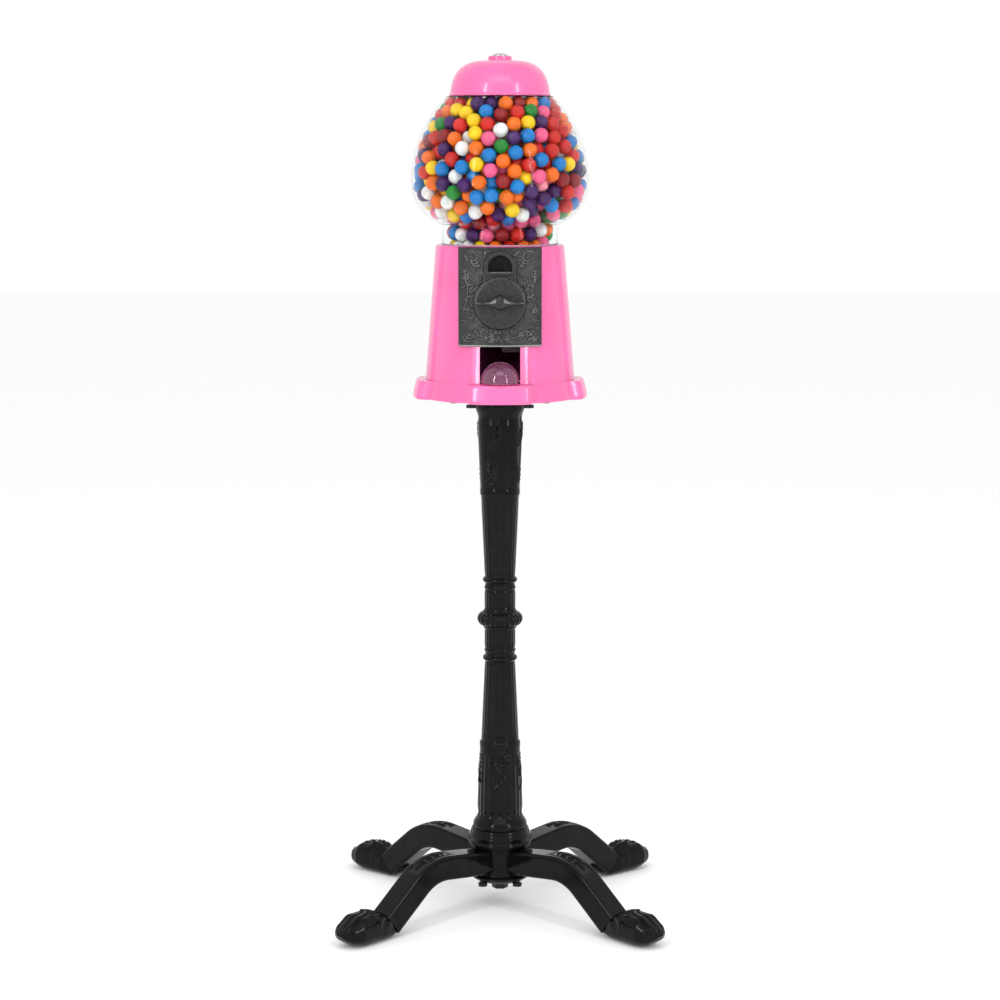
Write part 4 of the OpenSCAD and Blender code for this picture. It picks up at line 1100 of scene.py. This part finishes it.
class GUMBALL_OT_handle(bpy.types.Operator):
    """Turning handle: a smooth disc, a hub and two wings."""

    bl_idname = "gumball.handle"
    bl_label = "Handle"

    def execute(self, context):
        s = context.scene.gumball_head
        low, high = box_mm("handle")
        z0 = (low[2] + high[2]) / 2
        front, back = low[1], high[1]
        half = high[0] - 0.8
        disc = rounded([
            (0, back, 0), (s.disc_radius, back, 0.3), (s.disc_radius, back - 1.3, 0.8),
            (s.disc_radius - 2.4, back - 2.1, 0.8), (0, back - 2.5, 0),
        ], 5)
        bm = spun(fine(disc, 3.0), 96)
        hub = rounded([
            (0, back - 2.2, 0), (7.6, back - 2.2, 0), (6.2, back - 4.5, 2), (5.6, front + 2.5, 2),
            (0, front, 0),
        ], 6)
        bm_hub = spun(fine(hub, 1.5), 48)
        for part in (bm, bm_hub):
            reshape(part, lambda p: np.column_stack((p[:, 0], p[:, 2], z0 + p[:, 1])))

        def wing(u, v):
            """Blade from tip to tip: high and thick in the middle, thin and rolled at its tips."""
            x = (u * 2 - 1) * half
            along = np.abs(x) / half
            end = np.sqrt(np.clip(1 - ((along - 0.94) / 0.06).clip(0) ** 2, 0, 1))
            crest = 1.7 + 8.0 * np.exp(-(along / 0.27) ** 1.6) + 0.7 * smooth_step((along - 0.7) / 0.3)
            belly = 1.7 + 4.4 * np.exp(-(along / 0.26) ** 2)
            reach = (back - 2.0) - front - 1.2 * along ** 2
            a = v * 2 * math.pi
            power = 0.62
            cx = np.sign(np.cos(a)) * np.abs(np.cos(a)) ** power
            sz = np.sign(np.sin(a)) * np.abs(np.sin(a)) ** power
            y = (back - 2.0) - reach * (0.5 - 0.5 * cx)
            z = z0 - 0.2 + np.where(sz > 0, sz * crest, sz * belly) * end
            return np.column_stack((x, y, z))

        bm_wing = curved_sheet(96, 36, wing, wrap=True, caps=True)
        join(bm, bm_hub)
        join(bm, bm_wing)
        bmesh.ops.recalc_face_normals(bm, faces=bm.faces)

        # Painted highlights: the upper side of the wings and the upper half of the disc's rim are made
        # bright, where light from above falls
        def wear_and_highlight(points):
            x, y, z = points.T
            crest = (z > z0 + 0.8) & (y < back - 4) & (np.abs(x) > 4)
            ring = np.clip(1 - np.abs(np.hypot(x, z - z0) - s.disc_radius + 0.9) / 0.8, 0, 1) * (y > back - 3)
            return np.maximum(np.where(crest, 0.6, 0.0), ring * 0.3 * (z > z0))

        finish_piece("turning_handle", bm, "pewter", ["handle"], "handle_set", wear_and_highlight=wear_and_highlight)
        return {"FINISHED"}


# ---------- Chute door ----------


class GUMBALL_OT_chute_door(bpy.types.Operator):
    """Clear quarter dome that flips up on its two pins."""

    bl_idname = "gumball.chute_door"
    bl_label = "Chute door"

    def execute(self, context):
        low, high = box_mm("chute_door")
        pin_y, pin_z = -74, 593.8
        radius = high[2] - pin_z
        wall, lip = 1.6, 2.3
        pin_r, boss_r, boss_length = 1.3, 2.4, 2
        cuts = (
            ((0, 0, 0), (0, 1, 0)), ((0, 0, -lip), (0, 0, -1)),
            ((high[0], 0, 0), (1, 0, 0)), ((low[0], 0, 0), (-1, 0, 0)),
        )
        bm = bmesh.new()
        bmesh.ops.create_uvsphere(bm, u_segments=96, v_segments=64, radius=radius)
        bmesh.ops.rotate(bm, verts=bm.verts, cent=(0, 0, 0), matrix=Matrix.Rotation(math.pi / 2, 3, "Y"))
        for point, normal in cuts:
            parts = bm.verts[:] + bm.edges[:] + bm.faces[:]
            bmesh.ops.bisect_plane(bm, geom=parts, plane_co=point, plane_no=normal, clear_outer=True)
        bmesh.ops.recalc_face_normals(bm, faces=bm.faces)
        if bm.faces[:][0].normal.dot(bm.faces[:][0].calc_center_median()) < 0:
            bmesh.ops.reverse_faces(bm, faces=bm.faces)
        bmesh.ops.solidify(bm, geom=bm.faces[:], thickness=wall)
        tidy(bm, 0.02)
        for side in (-1, 1):
            boss = rounded([
                (pin_r, 0, 0), (boss_r, 0, 0.4), (boss_r, boss_length, 0.4), (pin_r, boss_length, 0),
            ], 3)
            ear = spun(boss, 36, closed=True)
            turn = Matrix.Rotation(side * math.pi / 2, 3, "Y")
            bmesh.ops.rotate(ear, verts=ear.verts, cent=(0, 0, 0), matrix=turn)
            bmesh.ops.translate(ear, vec=(side * (high[0] - boss_length), 0, 0), verts=ear.verts)
            join(bm, ear)
        bmesh.ops.translate(bm, vec=(0, pin_y, pin_z), verts=bm.verts)
        finish_piece("chute_door_dome", bm, "clear_plastic", ["chute_door"], "door_flap")
        return {"FINISHED"}


# ---------- Columns ----------


def column_profile(s, length, band_in, band_out, flare):
    """Side of a column from its ring end, as corners of radius, height and fillet."""
    return [
        (s.neck + 0.9, 0, 0), (s.neck + 0.9, 1.2, 0.5), (s.neck, 2.2, 0.6),
        (s.neck, 21, 1.5), (s.neck - 0.5, 24, 0.6), (s.neck + 0.7, 26, 0.8), (s.neck - 0.5, 28, 0.6),
        (s.neck - 0.6, 31.2, 0.5), (s.neck + 2.0, 33, 1.0), (s.neck + 2.0, 36, 1.0), (s.neck - 0.4, 38, 0.7),
        (s.neck, 44, 2), (s.step, 124, 3), (s.step + 0.2, 127, 0.8), (band_in, 129.5, 0.8),
        (band_in, 134, 0.6), (band_in - 0.3, 137, 0.8),
        (band_in + (band_out - band_in) * 0.9, length - 31, 4),
        (band_out, length - 22, 5), (band_out - 1.2, length - 15.5, 4), (flare, length - 6, 3),
        (flare, length - 0.6, 0.5), (flare - 0.6, length, 0), (8, length, 0),
    ]


def flutes(angle, count, power=0.75):
    """Depth from 0 on the edges between flutes to 1 in their middles."""
    return np.abs(np.sin(angle * count / 2)) ** power


def column_relief(s, length, strokes, plain_side):
    """Function that carves flutes and raises leaves on a column standing on its ring end."""

    def carve(points):
        """Moves the column's points in and out."""
        x, y, z = points.T
        r = np.hypot(x, y)
        angle = np.arctan2(y, x)
        shaft = smooth_step((z - 40) / 5) * smooth_step((123 - z) / 4)
        band = smooth_step((z - 139) / 5) * smooth_step((length - 8 - z) / 8)
        collar = smooth_step((z - 3) / 3) * smooth_step((22 - z) / 3)
        leaves = np.zeros_like(r)
        fluted = np.ones_like(r)
        for quarter in range(4):
            around = (np.mod(angle - quarter * math.pi / 2 + math.pi, 2 * math.pi) - math.pi) * r
            side = np.abs(around) < r * math.pi / 4
            leaves = np.maximum(leaves, stroke_height(around, z, strokes, 1.5) * side)
            if plain_side:
                panel = smooth_step((-around - 0.5) / 2) * smooth_step((around + 15) / 2)
                fluted = np.where(side, panel, fluted)
        depth = (shaft * 0.55 + band * fluted + collar * 0.6) * flutes(angle, s.flutes) * (1 - leaves)
        new = r - depth * s.flute_depth + leaves * 0.8 * band
        new = np.where(r > 8.5, new, r)
        return np.column_stack((x / r * new, y / r * new, z))

    return carve


def upper_leaves(foot, top):
    """Leaf strokes on the upper band: slanted blades above and crossed blades below."""
    strokes = []
    for k in range(3):
        z = top - 20 + 5.5 * k
        strokes.append([(-13, z), (-6.5, z + 5), (0, z + 13)])
    for k in range(2):
        z = foot + 24 - 6 * k
        strokes.append([(-15, z), (-10, z - 8), (-3, z - 14)])
        strokes.append([(-15, z - 19), (-9, z - 12), (-2, z - 8)])
    strokes.append([(-13, foot - 1), (-3, foot - 1)])
    return strokes


def lower_leaves(foot):
    """Leaf strokes on the lower band: a slanted blade crossed by short bars."""
    strokes = [[(-14, foot + 3), (-7, foot + 10), (0, foot + 20), (8, foot + 34)]]
    strokes.append([(-13, foot + 10), (-8, foot + 18), (-6, foot + 28)])
    for k in range(4):
        strokes.append([(1.5 + 0.5 * k, foot + 4 + 4.6 * k), (11 - k, foot + 3 + 4.6 * k)])
    strokes.append([(-9, foot + 42), (0, foot + 34), (7, foot + 24)])
    return strokes


class GUMBALL_OT_columns(bpy.types.Operator):
    """Upper and lower column castings with flutes, beads and leaf bands."""

    bl_idname = "gumball.columns"
    bl_label = "Columns"

    def column(self, s, name, node, sizes, strokes, down):
        """One column, standing on its ring end or hanging down from it."""
        low, high = box_mm(node)
        spigot = 6
        start, end = (high[2] - spigot, low[2]) if down else (low[2] + spigot, high[2])
        length = abs(end - start)
        side = fine(rounded(column_profile(s, length, *sizes)), 1.3)
        spigot_profile = [(6, -spigot), (s.neck - 3, -spigot), (s.neck - 3, 0)]
        bm = spun(spigot_profile + side, 224)
        reshape(bm, column_relief(s, length, strokes, plain_side=not down))
        if down:
            reshape(bm, lambda p: np.column_stack((p[:, 0], p[:, 1], start - p[:, 2])))
        else:
            reshape(bm, lambda p: np.column_stack((p[:, 0], p[:, 1], start + p[:, 2])))
        bmesh.ops.recalc_face_normals(bm, faces=bm.faces)
        finish_piece(name, bm, "black_paint", [node], sharp_deg=50)

    def execute(self, context):
        s = context.scene.gumball_stand
        # radius of a band at its start and at its end, and of the flare after it
        upper = (22.0, s.upper_band, s.upper_band + 2.6)
        lower = (22.7, s.lower_band, 30.0)
        leaf_foot, leaf_top = 141, 204
        leaves = upper_leaves(leaf_foot, leaf_top)
        self.column(s, "upper_column_casting", "upper_column", upper, leaves, False)
        self.column(s, "lower_column_casting", "lower_column", lower, lower_leaves(leaf_foot - 1), True)
        return {"FINISHED"}


class GUMBALL_OT_column_ring(bpy.types.Operator):
    """Thick ring between the columns, with a row of lobes round it."""

    bl_idname = "gumball.column_ring"
    bl_label = "Column ring"

    def execute(self, context):
        s = context.scene.gumball_stand
        low, high = box_mm("column_ring")
        z0, z1 = low[2], high[2]
        middle, half = (z0 + z1) / 2, (z1 - z0) / 2
        tube = half * 0.88
        core = s.ring - tube
        profile = [(6, z0), (s.neck + 1.5, z0), (s.neck + 1.7, z0 + 0.8)]
        profile += arc(core, middle, tube, -78, 78, 26)
        profile += [(s.neck + 1.7, z1 - 0.8), (s.neck + 1.5, z1), (6, z1)]
        bm = spun(fine(profile, 1.2), 264)

        def lobes(points):
            x, y, z = points.T
            r = np.hypot(x, y)
            angle = np.arctan2(y, x)
            waist = np.clip((r - core) / tube, 0, 1)
            depth = (1 - np.abs(np.cos(angle * 11)) ** 0.8) * 1.1 * np.clip(waist * 2.2, 0, 1)
            new = r - depth
            return np.column_stack((x / r * new, y / r * new, z))

        reshape(bm, lobes)
        finish_piece("column_ring_casting", bm, "black_paint", ["column_ring"], sharp_deg=60)
        return {"FINISHED"}


class GUMBALL_OT_saddle(bpy.types.Operator):
    """Saddle between the column and the body, thin at its rim."""

    bl_idname = "gumball.saddle"
    bl_label = "Saddle"

    def execute(self, context):
        low, high = box_mm("saddle")
        z0, z1, radius = high[2] - 6, high[2], high[0]
        rod = 5.1
        profile = rounded([
            (rod, low[2], 0), (13.9, low[2], 0.4), (14, z0 - 1, 0), (26, z0, 3), (42, z0 + 0.6, 6),
            (radius - 2, z1 - 1.8, 1), (radius, z1 - 1, 0.4), (radius, z1, 0.3), (rod, z1, 0),
        ])
        bm = spun(fine(profile, 4), 120, closed=True)
        finish_piece("saddle_casting", bm, "black_paint", ["saddle"], sharp_deg=50)
        return {"FINISHED"}


class GUMBALL_OT_hub(bpy.types.Operator):
    """Hub that the legs are screwed to: a stack of rings, a drum and a disc."""

    bl_idname = "gumball.hub"
    bl_label = "Hub"

    def execute(self, context):
        s = context.scene.gumball_stand
        low, high = box_mm("hub")
        z0 = low[2]
        z1 = box_mm("lower_column")[0][2]
        bore, spigot = 5.5, 19.9
        profile = rounded([
            (bore, z0, 0), (s.disc - 7, z0, 1.5), (s.disc - 0.6, z0 + 4.4, 1.0), (s.disc, z0 + 6.2, 0.7),
            (s.disc - 1.2, z0 + 7.2, 0.5), (s.disc - 4.6, z0 + 8.6, 1.2), (s.disc - 5.0, z0 + 13, 2),
            (s.disc - 4.2, z0 + 33, 2), (s.disc - 1.5, z0 + 39.9, 1.0), (s.hub - 2.5, z0 + 40, 0.6),
            (s.hub - 0.4, z0 + 41.5, 1.5), (s.hub, z0 + 44.5, 1.6), (s.hub - 1.8, z0 + 47.0, 0.8),
            (s.hub - 1.2, z0 + 49.5, 1.2), (s.hub - 1.2, z0 + 52.4, 1.2), (s.hub - 3.2, z0 + 54.2, 0.8),
            (s.hub - 4.2, z0 + 59.2, 1.0), (s.hub - 5.5, z1, 0.6), (spigot, z1, 0), (spigot, high[2], 0),
            (bore, high[2], 0),
        ], 5)
        bm = spun(fine(profile, 2.0), 160, closed=True)
        finish_piece("hub_casting", bm, "black_paint", ["hub"], sharp_deg=50)
        return {"FINISHED"}


# ---------- Legs ----------


def leg_path(s, steps):
    """Middle line of a leg in its own plane, and how steeply it falls at each place."""
    start_x, knee_x, leg_z = s.drum + 0.3, 88.7, 54.0
    bend_r, fall, lift = 58.0, math.radians(38.5), math.radians(5.97)
    knee_z = leg_z + (knee_x - s.drum) * math.tan(lift)
    centre = (knee_x + bend_r * math.sin(lift), knee_z - bend_r * math.cos(lift))
    shin = (centre[0] + bend_r * math.sin(fall), centre[1] + bend_r * math.cos(fall))
    shin_length = (shin[1] - s.leg_depth * 0.55) / math.sin(fall)
    thigh_length = math.hypot(knee_x - start_x, (knee_x - start_x) * math.tan(lift))
    lengths = [thigh_length, bend_r * (lift + fall), shin_length]
    places = []
    for k in range(steps + 1):
        t = sum(lengths) * k / steps
        if t < lengths[0]:
            back = lengths[0] - t
            places.append((knee_x - back * math.cos(lift), knee_z - back * math.sin(lift), -lift))
        elif t < lengths[0] + lengths[1]:
            turn = (t - lengths[0]) / bend_r - lift
            places.append((centre[0] + bend_r * math.sin(turn), centre[1] + bend_r * math.cos(turn), turn))
        else:
            on = t - lengths[0] - lengths[1]
            places.append((shin[0] + on * math.cos(fall), shin[1] - on * math.sin(fall), fall))
    return np.array(places), sum(lengths)


def leg_ring(s, count):
    """Section of a leg, across and up, with its top edges chamfered."""
    w, t, c = s.leg_width / 2, s.leg_depth / 2, 2.4
    right = [(w - 2.0, -t, 1.5), (w, -t + 2.5, 2.0), (w, t - c, 0.9), (w - c * 0.75, t, 0.9)]
    left = [(-x, y, fillet) for x, y, fillet in reversed(right)]
    ring = rounded([(0.0, -t, 0), *right, *left, (0.0, -t, 0)], 3)
    points = np.array(fine(ring, 0.5))
    along = np.concatenate(([0], np.cumsum(np.hypot(*np.diff(points, axis=0).T))))
    wanted = np.linspace(0, along[-1], count + 1)
    return np.column_stack((np.interp(wanted, along, points[:, 0]), np.interp(wanted, along, points[:, 1])))


def knee_leaf(length):
    """Leaf strokes on the top of a leg, in millimetres along and across it."""
    strokes = leaf(length * 0.42, 0, 34, 0, 3)
    strokes.append([(length * 0.40, -7), (length * 0.46, -8), (length * 0.56, -6.5)])
    strokes.append([(length * 0.40, 7), (length * 0.46, 8), (length * 0.56, 6.5)])
    return strokes


def leg_mesh(s):
    """A leg along +X without its foot."""
    stations, around = 190, 132
    path, total = leg_path(s, stations)
    ring = leg_ring(s, around)
    strokes = knee_leaf(total)

    def place(u, v):
        at = np.clip(np.rint(u * stations).astype(int), 0, stations)
        k = np.clip(np.rint(v * around).astype(int), 0, around)
        across, up = ring[k, 0], ring[k, 1]
        x0, z0, fall = path[at].T
        along = u * total
        top = up > s.leg_depth / 2 - 0.4
        groove = smooth_step((along - total * 0.34) / 8) * smooth_step((total * 0.66 - along) / 8)
        panel = groove * smooth_step((8.6 - np.abs(across)) / 1.2) * top
        up = up - panel * 1.1 + panel * 1.9 * stroke_height(along, across, strokes, 1.5)
        hub_share = smooth_step((62 - x0) / 40)
        height = 1 - 0.08 * hub_share
        up = up * height
        return np.column_stack((x0 + np.sin(fall) * up, across, np.maximum(z0 + np.cos(fall) * up, 1.0)))

    return curved_sheet(stations, around, place, wrap=True, caps=True)


def foot_mesh(s):
    """A paw along +X: four toes with claws, and fur swept back over the ankle."""
    tip, heel = s.foot_reach, s.foot_reach - 88
    nose = 14
    # places along the paw with its height, the height of its belly and its half width there
    side = [
        (heel, 14), (heel + 8, 19), (tip - 60, 26), (tip - 47, s.foot_height - 2), (tip - 38, s.foot_height),
        (tip - 23, s.foot_height - 2), (tip - 9, 24.5), (tip - 2, nose + 4), (tip, nose),
    ]
    belly = [
        (heel, 10), (heel + 8, 4), (heel + 22, 0), (tip - 26, 0), (tip - 12, 3.2), (tip - 4, 8.5),
        (tip, nose),
    ]
    plan = [
        (heel, 5), (heel + 8, 10), (tip - 55, 15.5), (tip - 34, 18.0), (tip - 20, s.foot_width / 2),
        (tip - 9, 16), (tip - 3, 10), (tip, 3),
    ]
    columns, around = 176, 150
    toes = (-13.2, -4.5, 4.5, 13.2)
    gaps = [[(tip - 34, y * 0.75), (tip - 16, y), (tip + 2, y * 1.02)] for y in (-9.0, 0.0, 9.0)]
    fur = []
    for k in range(5):
        for sign in (-1, 1):
            y = sign * (2.5 + 3.6 * k)
            x = tip - 40 - 3.2 * k
            fur.append([(x - 17, y * 0.6), (x - 6, y * 0.8 + sign), (x + 5, y * 1.05 + sign * 2.2)])

    def place(u, v):
        t = 1 - (1 - u) ** 1.3
        x = heel + t * (tip - heel)
        top = np.interp(x, *zip(*side))
        floor = np.interp(x, *zip(*belly))
        half = np.interp(x, *zip(*plan))
        a = v * 2 * math.pi
        c, sn = np.cos(a), np.sin(a)
        y = half * np.sign(c) * np.abs(c) ** 0.72
        z = (top + floor) / 2 + (top - floor) / 2 * np.sign(sn) * np.abs(sn) ** 0.72
        upper = smooth_step((z - floor - 3.5) / 4)
        furrow = stroke_height(x, y, gaps, 2.1) * smooth_step((x - tip + 36) / 8)
        claw = np.zeros_like(x)
        for toe in toes:
            knuckle = np.exp(-(((x - tip + 23) / 7.5) ** 2 + ((y - toe * 0.95) / 3.4) ** 2))
            nail = np.exp(-(((x - tip + 6) / 5.0) ** 2 + ((y - toe * 0.8) / 1.7) ** 2))
            claw = np.maximum.reduce([claw, knuckle, nail * 0.9])
        tufts = stroke_height(x, y, fur, 1.6) * smooth_step((z - 10) / 6)
        lift = (claw - furrow * 2.2 + tufts * 1.5) * upper
        spread = 1 + 0.03 * lift
        z = np.clip(z + lift, 0.05, s.foot_height + 1.2)
        return np.column_stack((x, y * spread, z))

    return curved_sheet(columns, around, place, wrap=True, caps=True)


class GUMBALL_OT_legs(bpy.types.Operator):
    """Four legs with a leaf at the knee and a paw for a foot."""

    bl_idname = "gumball.legs"
    bl_label = "Legs"

    def execute(self, context):
        s = context.scene.gumball_stand
        parts = []
        for name, part in (("leg", leg_mesh(s)), ("paw", foot_mesh(s))):
            mesh = bpy.data.meshes.new(name)
            part.to_mesh(mesh)
            part.free()
            parts.append(mesh)
        angles = {"leg_front_left": 225, "leg_front_right": 315, "leg_back_left": 135, "leg_back_right": 45}
        for node, angle in angles.items():
            bm = bmesh.new()
            for mesh in parts:
                bm.from_mesh(mesh)
            turn = Matrix.Rotation(math.radians(angle), 3, "Z")
            bmesh.ops.rotate(bm, verts=bm.verts, cent=(0, 0, 0), matrix=turn)
            finish_piece(node + "_casting", bm, "black_paint", [node], sharp_deg=42)
        for mesh in parts:
            bpy.data.meshes.remove(mesh)
        return {"FINISHED"}


# ---------- Other nodes, stage and lights ----------


class GUMBALL_OT_finishes(bpy.types.Operator):
    """Makes the finishes and gives them to the CAD nodes that stay in view."""

    bl_idname = "gumball.finishes"
    bl_label = "Finishes"

    def execute(self, context):
        make_finishes(context.scene.gumball_colours)
        for part in frame["record"]["subparts"]:
            node = frame["nodes"][part["node"]]
            # Nodes that sit in shade get dark steel: painted shade
            dark = part["node"] in DARK_NODES
            material = FINISHES["oiled_steel"] if dark else FINISHES.get(part["material_slot"])
            if material is None:
                continue
            node.data.materials.clear()
            node.data.materials.append(material)
        return {"FINISHED"}


def soft_box(name, place, target, size, power):
    """A square area light that looks at a target."""
    light = bpy.data.lights.new(name, "AREA")
    light.shape = "RECTANGLE"
    light.size, light.size_y = size
    light.energy = power
    lamp = bpy.data.objects.new(name, light)
    lamp.location = place
    lamp.rotation_euler = (Vector(target) - Vector(place)).to_track_quat("-Z", "Y").to_euler()
    bpy.context.scene.collection.objects.link(lamp)


class GUMBALL_OT_stage(bpy.types.Operator):
    """Camera, soft studio light and a plain pale floor."""

    bl_idname = "gumball.stage"
    bl_label = "Stage"

    def execute(self, context):
        camera_data = bpy.data.cameras.new("camera")
        camera_data.lens = 96.1
        camera_data.sensor_width = 36
        camera_data.clip_end = 50
        camera = bpy.data.objects.new("camera", camera_data)
        camera.location = (0, -2.9, 0.85)
        camera.rotation_euler = (math.radians(90 - 7.73), 0, 0)
        context.scene.collection.objects.link(camera)
        context.scene.camera = camera

        bm = bmesh.new()
        bmesh.ops.create_grid(bm, x_segments=8, y_segments=8, size=12)
        bmesh.ops.translate(bm, vec=(0, 0, -0.0005), verts=bm.verts)
        mesh = bpy.data.meshes.new("floor")
        bm.to_mesh(mesh)
        bm.free()
        mesh.materials.append(pale_floor(context.scene.gumball_colours))
        floor = bpy.data.objects.new("floor", mesh)
        context.scene.collection.objects.link(floor)

        world = bpy.data.worlds.new("studio")
        world.use_nodes = True
        background = world.node_tree.nodes["Background"]
        background.inputs["Color"].default_value = (1.0, 1.0, 1.0, 1.0)
        background.inputs["Strength"].default_value = 1.0
        context.scene.world = world
        soft_box("key_left", (-1.3, -1.9, 1.2), (0, 0, 0.6), (0.22, 1.6), 20)
        soft_box("key_right", (1.5, -1.7, 1.2), (0, 0, 0.6), (0.22, 1.6), 17)
        soft_box("top", (0, -1.6, 2.4), (0, 0, 0.6), (1.8, 0.8), 8)
        context.scene.view_settings.view_transform = "Standard"
        return {"FINISHED"}


class GUMBALL_PT_panel(bpy.types.Panel):
    """Lists the steps that build the machine."""

    bl_label = "Gumball Machine"
    bl_idname = "GUMBALL_PT_panel"
    bl_space_type = "VIEW_3D"
    bl_region_type = "UI"
    bl_category = "Gumball Machine"

    def draw(self, context):
        for operator in OPERATORS:
            self.layout.operator(operator.bl_idname)
        scene = context.scene
        for settings in (scene.gumball_head, scene.gumball_stand, scene.gumball_colours):
            for name in settings.__annotations__:
                self.layout.prop(settings, name)


OPERATORS = (
    GUMBALL_OT_stage,
    GUMBALL_OT_finishes,
    GUMBALL_OT_lid,
    GUMBALL_OT_lid_nut,
    GUMBALL_OT_globe,
    GUMBALL_OT_gumballs,
    GUMBALL_OT_body,
    GUMBALL_OT_coin_plate,
    GUMBALL_OT_handle,
    GUMBALL_OT_chute_door,
    GUMBALL_OT_saddle,
    GUMBALL_OT_columns,
    GUMBALL_OT_column_ring,
    GUMBALL_OT_hub,
    GUMBALL_OT_legs,
)
CLASSES = (HeadSettings, StandSettings, ColourSettings, *OPERATORS, GUMBALL_PT_panel)


def register():
    for cls in CLASSES:
        bpy.utils.register_class(cls)
    bpy.types.Scene.gumball_head = bpy.props.PointerProperty(type=HeadSettings)
    bpy.types.Scene.gumball_stand = bpy.props.PointerProperty(type=StandSettings)
    bpy.types.Scene.gumball_colours = bpy.props.PointerProperty(type=ColourSettings)


def unregister():
    del bpy.types.Scene.gumball_colours
    del bpy.types.Scene.gumball_stand
    del bpy.types.Scene.gumball_head
    for cls in reversed(CLASSES):
        bpy.utils.unregister_class(cls)


def main():
    register()
    for operator in OPERATORS:
        group, step = operator.bl_idname.split(".")
        getattr(getattr(bpy.ops, group), step)()


if __name__ == "__main__":
    main()
